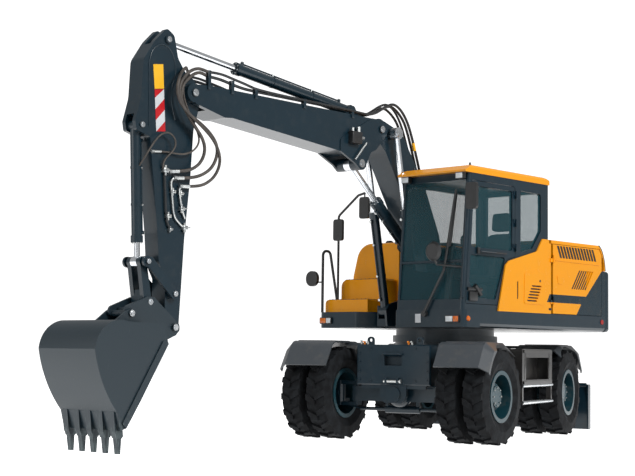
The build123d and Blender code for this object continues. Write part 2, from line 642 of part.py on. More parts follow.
door_hinges = (2230.0, 2520.0, 2850.0)
door_outline = [(door_rear_x, door_top_z), front_edge(door_top_z, door_front_margin),
                front_edge(door_bottom_z, door_front_margin), (609, door_bottom_z), (480, 2026),
                (412, 2083), (door_rear_x, 2122)]
door_corners = (45, 45, 30, 20, 40, 40, 15)
door_windows = (  # outline and corner radii of the upper and of the lower pane
    ([(322, 2890), front_edge(2890, 94), front_edge(2190, 94), (322, 2190)], 34),
    ([(455, 2108), front_edge(2108, 94), front_edge(1790, 94), (985, 1628), (652, 1612)], 30),
)
rear_window = [(152, 2188), (152, 2915), (-268, 2905), (-268, 2462), (-80, 2238)]
rear_window_corners = (20, 30, 30, 30, 60)
screen_split_z = 2030.0
screen_low_z = 1600.0
screen_high_z = 2950.0
screen_margin = 50.0
side_glass_low = 2230.0
rear_glass_y = (cab_inner_y + 80, cab_outer_y - 80)
with BuildPart() as cab:
    slab(cab_outline, cab_inner_y, cab_outer_y)
    fillet(cab.faces().sort_by(Axis.X)[-1].edges().sort_by(SortBy.LENGTH)[-2:], 38)
    slab([(cab_rear_x + cab_wall, deck_top + cab_wall), (cab_front_at(deck_top) - cab_wall, deck_top + cab_wall),
          (cab_front_at(cab_roof_z) - cab_wall, cab_roof_z - cab_wall),
          (cab_rear_x + cab_wall, cab_roof_z - cab_wall)],
         cab_inner_y + cab_wall, cab_outer_y - cab_wall, Mode.SUBTRACT)
    for low, high in ((screen_low_z, screen_split_z - 12), (screen_split_z + 12, screen_high_z)):
        block((900, cab_inner_y + screen_margin, low), (1400, cab_outer_y - screen_margin, high),
              Mode.SUBTRACT)
    block((cab_rear_x - 20, rear_glass_y[0], side_glass_low), (cab_rear_x + 100, rear_glass_y[1], 2930),
          Mode.SUBTRACT)
    slab(rear_window, cab_outer_y - 100, cab_outer_y + 20, Mode.SUBTRACT, rear_window_corners)
    block((cab_rear_x + 150, cab_inner_y - 20, 1950), (1040, cab_inner_y + 100, 2930), Mode.SUBTRACT)
    slab(door_outline, cab_outer_y - 100, cab_outer_y + 20, Mode.SUBTRACT, door_corners)
    for z in door_hinges:
        hinge_half((door_rear_x, door_hinge_y), z, door_rear_x - 40, cab_outer_y - 4, True)
write_upper(cab, "cab_shell")

# ---- cab glass: five fixed panes, each filling its opening
with BuildPart() as glass:
    for low, high in ((screen_low_z, screen_split_z - 12), (screen_split_z + 12, screen_high_z)):
        slab([(cab_front_at(low) - 22, low + run_gap), (cab_front_at(low) - 22 + glass_thickness, low + run_gap),
              (cab_front_at(high) - 22 + glass_thickness, high - run_gap),
              (cab_front_at(high) - 22, high - run_gap)],
             cab_inner_y + screen_margin + run_gap, cab_outer_y - screen_margin - run_gap)
    block((cab_rear_x + 16, rear_glass_y[0] + run_gap, side_glass_low + run_gap),
          (cab_rear_x + 16 + glass_thickness, rear_glass_y[1] - run_gap, 2930 - run_gap))
    with BuildSketch(Plane.XZ.offset(-(cab_outer_y - 16 - glass_thickness / 2))) as rear_pane:
        with BuildLine():
            closed_line(rear_window, rear_window_corners)
        make_face()
        offset(amount=-run_gap, kind=Kind.INTERSECTION)
    extrude(rear_pane.sketch, amount=glass_thickness / 2, both=True)
    block((cab_rear_x + 150 + run_gap, cab_inner_y + 16, 1950 + run_gap),
          (1040 - run_gap, cab_inner_y + 16 + glass_thickness, 2930 - run_gap))
write_upper(glass, "cab_glass")

# ---- cab roof: moulded cap with a peak over the windscreen
with BuildPart() as roof:
    slab([(cab_rear_x - 20, cab_roof_z), (cab_front_top_x + 90, cab_roof_z),
          (cab_front_top_x + 98, cab_roof_z + 22), (cab_front_top_x - 40, roof_top_z),
          (cab_rear_x + 60, roof_top_z), (cab_rear_x - 20, roof_top_z - 35)],
         cab_inner_y - 10, cab_outer_y + 10, corner=(0, 8, 12, 60, 60, 30))
    for edge_y, hand in ((cab_outer_y + 10, 1), (cab_inner_y - 10, -1)):
        cross_slab([(edge_y + hand, roof_top_z + 1), (edge_y - hand * 42, roof_top_z + 1),
                    (edge_y - hand * 14, roof_top_z - 12), (edge_y + hand, roof_top_z - 36)],
                   cab_rear_x - 40, cab_front_top_x + 110, Mode.SUBTRACT)
write_upper(roof, "cab_roof")

# ---- cab door: pressed frame round two panes, with a grab bar inside its front edge
with BuildPart() as door:
    with BuildSketch(Plane.XZ.offset(-(cab_outer_y - cab_wall / 2))) as leaf:
        with BuildLine():
            closed_line(door_outline, door_corners)
        make_face()
        offset(amount=-seam_gap, kind=Kind.INTERSECTION)
    extrude(leaf.sketch, amount=cab_wall / 2, both=True)
    for outline, radius in door_windows:
        slab(outline, cab_outer_y - 100, cab_outer_y + 20, Mode.SUBTRACT, radius)
    for z in door_hinges:
        hinge_half((door_rear_x, door_hinge_y), z, door_rear_x + 45, cab_outer_y - 4, False)
    handrail([(980, cab_outer_y - 5, 2150), (980, cab_outer_y + 42, 2150), (700, cab_outer_y + 42, 2150),
              (700, cab_outer_y - 5, 2150)], 9, 14)
write_upper(door, "cab_door")
with BuildPart() as door_glass:
    for outline, radius in door_windows:
        with BuildSketch(Plane.XZ.offset(-(cab_outer_y - 16 - glass_thickness / 2))) as pane:
            with BuildLine():
                closed_line(outline, radius)
            make_face()
            offset(amount=-run_gap, kind=Kind.INTERSECTION)
        extrude(pane.sketch, amount=glass_thickness / 2, both=True)
write_upper(door_glass, "cab_door_glass")

# ---- engine bay: firewall behind the cab, fixed panels and a door with two grilles
bay_floor = deck_top
wall_top = body_top_z - body_wall - run_gap
right_cover_y = -470.0
service_front_x = bay_front_x - 12
service_rear_x = -1600.0
service_hinges = (1650.0, 2150.0)
grille_table = (  # lower left, lower right, upper right x; low and high z; number of slots
    (-1480, -640, -568, 2166, 2312, 13),
    (-1230, -890, -1066, 1800, 2036, 7),
)
vent_table = (  # rear x and front x of each slot, and its z
    (-252, -50, 1802), (-238, -24, 1767), (-222, -4, 1732), (-204, 16, 1697), (-184, 34, 1662), (-160, 50, 1627),
)
with BuildPart() as firewall:
    block((bay_front_x, right_cover_y, bay_floor), (bay_front_x + 25, side_y - body_wall - 1, wall_top))
write_upper(firewall, "firewall")
with BuildPart() as left_panels:
    block((tail_x, side_y - body_wall, bay_floor), (service_rear_x - seam_gap, side_y, tail_low_z - 8))
    slab([(bay_front_x + 30, bay_floor), (618, bay_floor), (474, 2018), (404, 2073), (-168, 2217),
          (-283, body_top_z + 12), (-412, body_top_z + 12), (-418, wall_top - 2), (bay_front_x + 30, wall_top - 2)],
         cab_outer_y + run_gap, side_y, corner=(0, 0, 30, 50, 60, 12, 4, 3, 0))
    panel_front = left_panels.faces().sort_by(Axis.Y)[-1]
    for rear_x, front_x, z in vent_table:
        slab([(rear_x, z - 9), (front_x - 8, z - 9), (front_x + 3, z + 9), (rear_x + 8, z + 9)],
             side_y - 13, side_y + 1, Mode.SUBTRACT)
    block((222, side_y - 13, 1640), (246, side_y + 1, 1842), Mode.SUBTRACT)
    slab([(-318, 1990), (96, 1948), (110, 1588), (-312, 1584)], side_y - 1, side_y + 5, corner=34)
    for rear_x, front_x, z in vent_table:
        slab([(rear_x, z - 9), (front_x - 8, z - 9), (front_x + 3, z + 9), (rear_x + 8, z + 9)],
             side_y - 13, side_y + 6, Mode.SUBTRACT)
    for z in service_hinges:
        hinge_half(service_hinge, z, service_hinge[0] + 60, side_y - 1, True)
write_upper(left_panels, "left_panels")
with BuildPart() as service_door:
    block((service_rear_x, side_y - body_wall, bay_floor + seam_gap),
          (service_front_x, side_y, wall_top - seam_gap))
    cut_tail(side_y - body_wall - 1, side_y + 1, body_wall + 16)
    for low_left, low_right, high_right, low_z, high_z, count in grille_table:
        lean = high_right - low_right
        pitch = (low_right - low_left) / count
        for step in range(count):
            x = low_left + step * pitch
            slab([(x, low_z), (x + pitch - 16, low_z), (x + pitch - 16 + lean, high_z), (x + lean, high_z)],
                 side_y - body_wall - 1, side_y + 1, Mode.SUBTRACT)
    slab([(service_rear_x + 60, 2120), (service_front_x - 10, 2128), (service_front_x - 10, 2140),
          (service_rear_x + 60, 2136)], side_y - 1, side_y + 6)
    slab([(-729, 1952), (-582, 1953), (-614, 1849), (-700, 1849)], side_y - 1, side_y + 5, corner=16)
    for z in service_hinges:
        hinge_half(service_hinge, z, service_hinge[0] - 50, side_y - 1, False)
write_upper(service_door, "service_door")

# ---- right cover: tank and pump housing with its outer edge rounded away, and two boxes
with BuildPart() as right_cover:
    cross_slab([(-side_y, bay_floor), (right_cover_y, bay_floor), (right_cover_y, body_top_z + 10),
                (-side_y + 110, body_top_z + 10), (-side_y, 1960)], tail_x, 330, corner=(0, 0, 0, 230, 120))
    cut_tail(-side_y - 1, right_cover_y + 1)
    fillet(right_cover.faces().sort_by(Axis.X)[-1].edges().sort_by(Axis.Z)[-1], 40)
    cross_slab([(-side_y + 60, bay_floor), (right_cover_y - 30, bay_floor), (right_cover_y - 30, 1900),
                (-side_y + 60, 1900)], 320, 600, corner=(0, 0, 20, 90))
    cross_slab([(-side_y + 20, bay_floor), (right_cover_y - 60, bay_floor), (right_cover_y - 60, 1640),
                (-side_y + 20, 1640)], 590, 850, corner=(0, 0, 12, 50))
write_upper(right_cover, "right_cover")

# ---- engine hood: lid over the bay that turns down at the rear, hinged along its front edge
with BuildPart() as hood:
    outer = tail_curve()
    inner = tail_curve(body_wall)
    front_x = bay_front_x + 25
    with BuildSketch(Plane.XZ) as hood_side:
        with BuildLine():
            Line((front_x, body_top_z + 15), outer[0])
            ThreePointArc(*outer)
            Line(outer[2], inner[2])
            ThreePointArc(*reversed(inner))
            Polyline(inner[0], (inner[0][0], body_top_z - body_wall), (front_x, body_top_z - body_wall),
                     (front_x, body_top_z + 15))
        make_face()
    extrude(hood_side.sketch, amount=-side_y)
    extrude(hood_side.sketch, amount=-right_cover_y - seam_gap)
    fillet(hood.faces().sort_by(Axis.Y)[-1].edges().filter_by(Axis.X).sort_by(Axis.Z)[-1], 22)
write_upper(hood, "engine_hood")

# ---- engine: one plain block at its real place and size
with BuildPart() as engine:
    block((-1500, -360, bay_floor), (-720, 980, 2150))
write_upper(engine, "engine_block")

# ---- cab inside: pedestal and consoles, seat, steering column
cab_mid_y = (cab_inner_y + cab_outer_y) / 2
cab_floor = deck_top + cab_wall
with BuildPart() as consoles:
    block((-20, cab_mid_y - 190, cab_floor), (420, cab_mid_y + 190, 1800))
    for low, high in both_sides(255, 340):
        block((-60, cab_mid_y + low, 1880), (470, cab_mid_y + high, 2030))
        middle = cab_mid_y + (low + high) / 2
        ends = sorted((cab_mid_y, middle))
        bar((400, middle, 2030), (420, middle, 2190), 22)
        block((100, ends[0], 1700), (200, ends[1], 1760))
        block((100, middle - 40, 1700), (200, middle + 40, 1880))
    bar((930, cab_mid_y, cab_floor + 10), (850, cab_mid_y, 2210), 40)
    block((890, cab_mid_y - 60, cab_floor), (970, cab_mid_y + 60, cab_floor + 60))
    with Locations(Plane(origin=(845, cab_mid_y, 2225), z_dir=(-80, 0, 680))):
        Torus(185, 16)
        Box(370, 36, 22)
        Cylinder(45, 40)
write_upper(consoles, "cab_controls")
with BuildPart() as seat:
    slab([(-60, 1800 + run_gap), (440, 1800 + run_gap), (450, 1870), (420, 1910), (40, 1895),
          (-60, 2450), (-90, 2480), (-90, 2700), (-160, 2700), (-200, 2440), (-110, 1860)],
         cab_mid_y - 235, cab_mid_y + 235)
write_upper(seat, "operator_seat")

# ---- handrails, mirrors and lamps
rail_radius = 17.0
with BuildPart() as handrails:
    handrail([(930, -1200, deck_top), (930, -1200, 2250), (800, -1200, 2250), (660, -1200, 1644.2)],
             rail_radius, 60)
    handrail([(930, -1200, 1860), (930, -1290, 1860), (1000 - run_gap, -1290, 1860)], 9, 20)
write_upper(handrails, "right_handrail")
with BuildPart() as mirror_pole:
    handrail([(700, -1150, 1640), (700, -1150, 2700), (640, -880, 2950), (600, -700, 3000)], 15, 60)
    bar((622, -790, 2975), (622, -790, 2925 + run_gap), 9)
write_upper(mirror_pole, "mirror_pole")
mirror_table = (  # x, y, z, width, height, corner radius
    (735 + run_gap, -1120, 2520, 150, 270, 35),
    (622, -790, 2790, 150, 270, 35),
    (1020, -1290, 1900, 190, 190, 90),
    (1240, 1320, 2750, 150, 300, 35),
)
with BuildPart() as mirrors:
    for x, y, z, width, height, rounding in mirror_table:
        cross_slab([(y - width / 2, z - height / 2), (y + width / 2, z - height / 2),
                    (y + width / 2, z + height / 2), (y - width / 2, z + height / 2)], x - 20, x + 20, corner=rounding)
    handrail([(1140, cab_outer_y + run_gap, 2800), (1140, 1290, 2800), (1225, 1290, 2800)], 10, 25)
write_upper(mirrors, "mirrors")
with BuildPart() as lamps:
    for x, y in ((cab_front_x, 1090), (right_front_x, -1090)):
        cross_slab([(y - 95, 1340), (y + 95, 1340), (y + 95, 1420), (y - 95, 1420)], x, x + 25, corner=16)
    for y in (cab_inner_y + 90, cab_outer_y - 90):
        cross_slab([(y - 55, cab_roof_z - 78), (y + 55, cab_roof_z - 78), (y + 55, cab_roof_z), (y - 55, cab_roof_z)],
                   cab_front_top_x + 25, cab_front_top_x + 80, corner=(18, 18, 0, 0))
write_upper(lamps, "lamps")

# ================================================================ BOOM AND ARM
half_upper = upper_boom_width / 2
half_arm = arm_width / 2


def across_boom(low, high):
    """A stretch measured from the boom's middle plane, in the machine's y."""
    return boom_y + low, boom_y + high


# ---- lower boom: bent box section between the foot pin and the knuckle
with BuildPart() as lower_boom:
    slab([(foot[0] + 95, foot[1] - 95), (590, 2270), (920, 2800), (1270, 3340), (knuckle[0] + 100, knuckle[1] - 75),
          (knuckle[0] - 60, knuckle[1] + 118), (980, 3600), (540, 3010), (240, 2420), (foot[0] - 128, foot[1] + 40)],
         *across_boom(-half_lower, half_lower), corner=(20, 500, 700, 300, 20, 60, 300, 700, 500, 20))
    pin(foot, 135, *across_boom(-half_lower, half_lower))
    pin(knuckle, 130, *across_boom(-half_lower, half_lower))
    pin(foot, pin_radius + 10, *across_boom(-half_lower - 1, half_lower + 1), Mode.SUBTRACT)
    pin(knuckle, pin_radius + 8, *across_boom(-half_lower - 1, half_lower + 1), Mode.SUBTRACT)
    for low, high in both_sides(half_lower - 20, boom_ram_y - 45 - run_gap):
        pin(boom_ram_rod, 62, *across_boom(low, high))
    for low, high in both_sides(70 + run_gap, 95):
        slab([(560, 2150), (adjust_ram_base[0] - 20, adjust_ram_base[1] - 60),
              (adjust_ram_base[0] + 50, adjust_ram_base[1] - 30), (adjust_ram_base[0] + 50, adjust_ram_base[1] + 40),
              (720, 2480)], *across_boom(low, high))
    pin(adjust_ram_base, pin_radius - run_gap, *across_boom(-95, 95))
write_upper(lower_boom, "lower_boom")

# ---- upper boom: tapered box with forked cheeks at the knuckle
with BuildPart() as upper_boom:
    box_start_x = knuckle[0] + 150
    slab([(box_start_x, 3700), (4080, 3705), (arm_pivot[0] - 40, arm_pivot[1] + 90),
          (arm_pivot[0] + 60, arm_pivot[1] + 70), (arm_pivot[0] + 80, arm_pivot[1] - 40),
          (arm_pivot[0] - 30, arm_pivot[1] - 110), (3890, 3400), (3780, 3410),
          (2056, 3255), (1900, 3240), (box_start_x, 3330)],
         *across_boom(-half_upper, half_upper))
    for low, high in both_sides(cheek_in, cheek_out):
        slab([(box_start_x + 20, 3700), (knuckle[0], knuckle[1] + 108), (knuckle[0] - 100, knuckle[1] + 40),
              (knuckle[0] - 90, knuckle[1] - 60), (1480, 3340), (1570, 3300), (1640, adjust_ram_rod[1] + 20),
              (adjust_ram_rod[0] - 70, adjust_ram_rod[1] - 40), (adjust_ram_rod[0] + 20, adjust_ram_rod[1] - 78),
              (adjust_ram_rod[0] + 110, adjust_ram_rod[1] - 10), (2100, 3260), (2100, 3400)],
             *across_boom(low, high), corner=(40, 60, 40, 40, 60, 60, 60, 40, 60, 60, 40, 60))
        pin(knuckle, 110, *across_boom(low, high))
    pin(knuckle, pin_radius + 8 - run_gap, *across_boom(-cheek_out - 18, cheek_out + 18))
    for low, high in both_sides(45 + run_gap, cheek_out):
        pin(adjust_ram_rod, 75, *across_boom(low, high))
    pin(arm_pivot, 98, *across_boom(-half_upper, half_upper))
    pin(arm_pivot, 250, *across_boom(-half_arm - 12 - run_gap, half_arm + 12 + run_gap), Mode.SUBTRACT)
    slab([(arm_pivot[0] - 200, arm_pivot[1] + 19), (arm_pivot[0] - 380, arm_pivot[1] + 112),
          (arm_pivot[0] - 380, arm_pivot[1] + 150), (arm_pivot[0] - 200, arm_pivot[1] + 150)],
         *across_boom(-half_arm - 12 - run_gap, half_arm + 12 + run_gap), Mode.SUBTRACT)
    pin(arm_pivot, pin_radius + 5 - run_gap, *across_boom(-half_upper - 15, half_upper + 15))
    for low, high in both_sides(62 + run_gap, 84):
        slab([(arm_ram_base[0] - 120, 3700), (arm_ram_base[0] - 40, arm_ram_base[1] + 50),
              (arm_ram_base[0] + 40, arm_ram_base[1] + 50), (arm_ram_base[0] + 130, 3700)],
             *across_boom(low, high), corner=(0, 45, 45, 0))
    pin(arm_ram_base, pin_radius - run_gap, *across_boom(-84, 84))
write_upper(upper_boom, "upper_boom")

# ---- arm: box section, forked at its head for the arm ram's eye
with BuildPart() as arm:
    slab([(4650, 4220), (4800, 4072), (4948, 3855), (4966, 3480), (5035, 3235), (5018, 3145), (4838, 3095),
          (4716, 2153), (4690, 1850), (4600, 1700), (4600, 1125), (4418, 1125), (4359, 2115), (4293, 2750),
          (4264, 3235), (4200, 3450), (4188, 3620), (4260, 3740), (4392, 3805), (4492, 3936), (4548, 4160)],
         *across_boom(-half_arm, half_arm),
         corner=(45, 250, 120, 300, 25, 25, 40, 400, 150, 60, 72, 72, 900, 900, 300, 120, 70, 100, 120, 120, 60))
    pin(arm_tip, pin_radius + run_gap, *across_boom(-half_arm - 1, half_arm + 1), Mode.SUBTRACT)
    slab([(4440, 3980), (4500, 3915), (4700, 3915), (4760, 3990), (4900, 4110), (4900, 4300), (4440, 4300)],
         *across_boom(-45 - run_gap, 45 + run_gap), Mode.SUBTRACT)
    slab([(4870, 3040), (4870, 3200), (4890, 3290), (5100, 3320), (5100, 3040)],
         *across_boom(-54 - run_gap, 54 + run_gap), Mode.SUBTRACT)
    pin(bucket_ram_base, pin_radius - 5 - run_gap, *across_boom(-half_arm - 12, half_arm + 12))
    pin(arm_pivot, 95, *across_boom(-half_arm - 12, half_arm + 12))
    pin(arm_pivot, pin_radius + 5, *across_boom(-half_arm - 20, half_arm + 20), Mode.SUBTRACT)
    for low, high in both_sides(half_arm, half_arm + 18):
        pin(arm_ram_rod, 45, *across_boom(low, high))
    pin(rocker_pivot, 30 - run_gap, *across_boom(-170, 170))
    for low, high in both_sides(half_arm, 136 - run_gap):
        pin(rocker_pivot, 52, *across_boom(low, high))
write_upper(arm, "arm")

# ---- rocker: a pair of swinging plates outside the arm
with BuildPart() as rocker:
    for low, high in both_sides(136, 162):
        slab([(rocker_pivot[0] - 40, rocker_pivot[1] + 30), (rocker_end[0] - 60, rocker_end[1] + 45),
              (rocker_end[0] + 40, rocker_end[1] + 40), (rocker_end[0] + 55, rocker_end[1] - 20),
              (rocker_end[0] - 40, rocker_end[1] - 75), (rocker_pivot[0] + 40, rocker_pivot[1] - 40)],
             *across_boom(low, high), corner=(20, 30, 30, 30, 40, 20))
        pin(rocker_end, 55, *across_boom(low, high))
        pin(rocker_pivot, 55, *across_boom(low, high))
        pin(rocker_pivot, 30, *across_boom(low - 1, high + 1), Mode.SUBTRACT)
    for low, high in both_sides(70, 176):
        pin(rocker_end, 28 - run_gap, *across_boom(low, high))
write_upper(rocker, "rocker_links")

# ---- bucket link: forked at the rocker, one boss at the coupler
with BuildPart() as link:
    for low, high in both_sides(45 + run_gap, half_arm):
        pin(rocker_end, 52, *across_boom(low, high))
        slab([(rocker_end[0] - 40, rocker_end[1]), (rocker_end[0] + 45, rocker_end[1]),
              (link_end[0] + 50, link_end[1]), (link_end[0] - 45, link_end[1])], *across_boom(low, high))
        pin(rocker_end, 28, *across_boom(low - 1, high + 1), Mode.SUBTRACT)
    block((link_end[0] - 38, boom_y - 80, link_end[1]), (link_end[0] + 60, boom_y + 80, link_end[1] + 120))
    pin(link_end, 50, *across_boom(-half_arm, half_arm))
write_upper(link, "bucket_link")

# ---- quick coupler: two ears on the arm tip and link, hooks on the bucket's pins
coupler_in = half_arm + 4
coupler_out = half_arm + 34
with BuildPart() as coupler:
    for low, high in both_sides(coupler_in, coupler_out):
        slab([(arm_tip[0] - 70, arm_tip[1] + 30), (link_end[0] - 50, link_end[1] + 45),
              (link_end[0] + 40, link_end[1] + 50), (coupler_rear_pin[0] + 40, coupler_rear_pin[1] + 70),
              (coupler_rear_pin[0] + 75, coupler_rear_pin[1]), (coupler_rear_pin[0] - 40, coupler_rear_pin[1] - 50),
              (4915, 1262), (coupler_front_pin[0] + 60, coupler_front_pin[1] + 10), (coupler_front_pin[0], coupler_front_pin[1] - 58),
              (arm_tip[0] - 20, arm_tip[1] - 80), (arm_tip[0] - 75, arm_tip[1] - 30)], *across_boom(low, high),
             corner=(40, 30, 30, 40, 35, 20, 60, 20, 18, 40, 35))
    pin(arm_tip, pin_radius, *across_boom(-coupler_out - 24, coupler_out + 24))
    block((4905, boom_y - coupler_out, 1255), (5040, boom_y + coupler_out, 1400))
    pin(coupler_front_pin, 34 + run_gap, *across_boom(-coupler_out - 1, coupler_out + 1), Mode.SUBTRACT)
    pin(coupler_rear_pin, 34 + run_gap, *across_boom(-coupler_out - 1, coupler_out + 1), Mode.SUBTRACT)
write_upper(coupler, "quick_coupler")

# ---- bucket: rolled shell between two side plates, lip with teeth, hanger ears
with BuildPart() as bucket:
    with BuildSketch(Plane.XZ.offset(-boom_y)) as side_plate:
        with BuildLine():
            Line((4900, 1238), (5330, 1252))
            ThreePointArc((5330, 1252), (5600, 1206), (5722, 990))
            ThreePointArc((5722, 990), (5632, 700), (5440, 400))
            Polyline((5440, 400), (5395, 230), (5340, 250), (5175, 500), (4830, 1055), (4900, 1238))
        make_face()
    extrude(side_plate.sketch, amount=bucket_half_width, both=True)
    with BuildSketch(Plane.XZ.offset(-boom_y)) as cavity:
        with BuildLine():
            Line((4890, 1218), (5336, 1230))
            ThreePointArc((5336, 1230), (5584, 1190), (5698, 988))
            ThreePointArc((5698, 988), (5610, 706), (5420, 414))
            Polyline((5420, 414), (5370, 200), (5300, 180), (4700, 1100), (4890, 1218))
        make_face()
    extrude(cavity.sketch, amount=bucket_half_width - bucket_plate, both=True, mode=Mode.SUBTRACT)
    for y in (-352, -176, 0, 176, 352):
        slab([(5350, 330), (5452, 420), (5428, 215), (5402, 158), (5345, 158), (5330, 180)],
             *across_boom(y - 38, y + 38), corner=(0, 0, 20, 12, 12, 0))
        slab([(5342, 180), (5405, 180), (5378, 12), (5350, 12)], *across_boom(y - 27, y + 27))
    for low, high in both_sides(bucket_half_width - 1, bucket_half_width + 14):
        slab([(4835, 1050), (4900, 1080), (5225, 560), (5385, 300), (5340, 250), (5175, 500)],
             *across_boom(low, high), corner=(0, 20, 0, 20, 0, 0))
    for low, high in both_sides(coupler_out + 2, coupler_out + 28):
        slab([(coupler_front_pin[0] - 40, coupler_front_pin[1] - 30), (coupler_front_pin[0] - 20, coupler_front_pin[1] + 50),
              (4900, 1190), (5000, 1300), (coupler_rear_pin[0] - 30, coupler_rear_pin[1] + 50),
              (coupler_rear_pin[0] + 50, coupler_rear_pin[1] + 30), (5300, 1240), (5300, 1225), (4870, 1100)],
             *across_boom(low, high), corner=(18, 20, 60, 60, 25, 25, 0, 0, 0))
    pin(coupler_front_pin, 34, *across_boom(-coupler_out - 40, coupler_out + 40))
    pin(coupler_rear_pin, 34, *across_boom(-coupler_out - 40, coupler_out + 40))
write_upper(bucket, "bucket")

# ---- rams of the boom, its adjusting knuckle, the arm and the bucket
ram_table = (
    # name, base, rod pin, y offsets, barrel and rod radius, barrel length, shortest length,
    # eye radius, width of the base eye and of the rod's eye, pin radius
    ("boom", boom_ram_base, boom_ram_rod, (-boom_ram_y, boom_ram_y), 54, 35, 1190, 1340, 70, ram_eye_width, 90, 35),
    ("adjust", adjust_ram_base, adjust_ram_rod, (0,), 68, 38, 760, 1050, 75, 140, 90, 35),
    ("arm", arm_ram_base, arm_ram_rod, (0,), 60, 35, 1815, 1895, 62, 124, 90, 35),
    ("bucket", bucket_ram_base, rocker_end, (0,), 52, 30, 1160, 1270, 55, 108, 90, 30),
)
for (name, base, rod_pin, offsets, barrel_r, rod_r, barrel_l, shortest,
     eye_r, base_w, rod_w, pin_r) in ram_table:
    barrels, rods = ram(base, rod_pin, [boom_y + offset for offset in offsets],
                        barrel_r, rod_r, barrel_l, shortest, eye_r, base_w, rod_w, pin_r)
    write_upper(barrels, f"{name}_ram_barrel")
    write_upper(rods, f"{name}_ram_rod")
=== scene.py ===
import math

import bmesh
import bpy
from mathutils import Matrix, Vector


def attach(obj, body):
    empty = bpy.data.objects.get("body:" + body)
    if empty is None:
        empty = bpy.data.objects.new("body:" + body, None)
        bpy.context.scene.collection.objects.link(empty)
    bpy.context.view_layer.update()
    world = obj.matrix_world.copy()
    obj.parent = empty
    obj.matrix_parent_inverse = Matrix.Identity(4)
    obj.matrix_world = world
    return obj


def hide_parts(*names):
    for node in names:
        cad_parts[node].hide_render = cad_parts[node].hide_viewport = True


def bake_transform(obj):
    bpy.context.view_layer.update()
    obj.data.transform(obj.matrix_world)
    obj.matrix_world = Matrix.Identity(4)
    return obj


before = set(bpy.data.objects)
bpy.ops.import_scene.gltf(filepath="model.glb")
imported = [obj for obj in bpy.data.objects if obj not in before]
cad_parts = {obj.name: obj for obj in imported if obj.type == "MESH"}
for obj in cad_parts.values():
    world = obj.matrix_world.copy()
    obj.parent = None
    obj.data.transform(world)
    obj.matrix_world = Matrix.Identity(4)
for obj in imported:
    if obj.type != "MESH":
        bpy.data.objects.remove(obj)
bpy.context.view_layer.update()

# ---------------------------------------------------------------- stage and camera
# The floor is a pale lit studio sweep under a lit cloth dome.  The camera stands low,
# ahead of the machine and to its left, with a lens of about 80 mm, so that upright
# edges stay nearly upright.


def linear(code):
    """An sRGB hex colour as the linear RGBA that shader sockets take."""
    channels = [int(code[i:i + 2], 16) / 255 for i in (1, 3, 5)]
    return [c / 12.92 if c <= 0.04045 else ((c + 0.055) / 1.055) ** 2.4 for c in channels] + [1.0]


def add_node(tree, kind, settings=None, links=None):
    """One shader node: settings are its own values or sockets, links feed sockets."""
    node = tree.nodes.new(kind)
    for name, value in (settings or {}).items():
        if isinstance(name, str) and hasattr(node, name):
            setattr(node, name, value)
        else:
            node.inputs[name].default_value = value
    for name, source in (links or {}).items():
        tree.links.new(source, node.inputs[name])
    return node


def new_material(name):
    """An empty node material and its tree, cleared of all its nodes."""
    material = bpy.data.materials.new(name)
    material.use_nodes = True
    tree = material.node_tree
    tree.nodes.clear()
    return material, tree


camera_place = Vector((16.482, 6.188, 0.975))
camera_yaw, camera_pitch, camera_roll = 3.590861, 0.0810299, 0.0134528
lens_over_image_width = 1421.59 / 635
ahead = Vector((math.cos(camera_yaw) * math.cos(camera_pitch),
                math.sin(camera_yaw) * math.cos(camera_pitch), math.sin(camera_pitch)))
level_right = Vector((math.sin(camera_yaw), -math.cos(camera_yaw), 0))
level_up = level_right.cross(ahead)
right = math.cos(camera_roll) * level_right + math.sin(camera_roll) * level_up
upward = right.cross(ahead)
camera = bpy.data.objects.new("camera", bpy.data.cameras.new("camera"))
facing = Matrix((right, upward, -ahead)).transposed().to_4x4()
camera.matrix_world = Matrix.Translation(camera_place) @ facing
camera.data.lens = lens_over_image_width * camera.data.sensor_width
camera.data.clip_end = 200
bpy.context.scene.collection.objects.link(camera)
bpy.context.scene.camera = camera

floor_mesh = bpy.data.meshes.new("floor")
sweep = bmesh.new()
bmesh.ops.create_grid(sweep, x_segments=1, y_segments=1, size=60)
sweep.to_mesh(floor_mesh)
sweep.free()
floor = bpy.data.objects.new("floor", floor_mesh)
floor.location.z = -0.002
bpy.context.scene.collection.objects.link(floor)
studio_paint, tree = new_material("matt_studio_floor")
shader = add_node(tree, "ShaderNodeBsdfPrincipled",
                  {"Base Color": linear("#ffffff"), "Roughness": 0.9, "Specular IOR Level": 0.1,
                   "Emission Color": linear("#ffffff"), "Emission Strength": 1.1})
add_node(tree, "ShaderNodeOutputMaterial", links={"Surface": shader.outputs[0]})
floor_mesh.materials.append(studio_paint)
floor.visible_diffuse = False

dome_mesh = bpy.data.meshes.new("studio_dome")
shell = bmesh.new()
bmesh.ops.create_uvsphere(shell, u_segments=32, v_segments=16, radius=50)
shell.to_mesh(dome_mesh)
shell.free()
dome = bpy.data.objects.new("studio_dome", dome_mesh)
bpy.context.scene.collection.objects.link(dome)
dome.visible_diffuse = dome.visible_glossy = dome.visible_shadow = False
glow, tree = new_material("lit_studio_cloth")
shader = add_node(tree, "ShaderNodeEmission", {"Color": linear("#ffffff"), "Strength": 1.2})
add_node(tree, "ShaderNodeOutputMaterial", links={"Surface": shader.outputs[0]})
dome_mesh.materials.append(glow)

world = bpy.data.worlds.new("soft_studio")
world.use_nodes = True
world.node_tree.nodes["Background"].inputs[0].default_value = (1, 1, 1, 1)
world.node_tree.nodes["Background"].inputs[1].default_value = 0.42
bpy.context.scene.world = world
bpy.context.scene.view_settings.view_transform = "Standard"


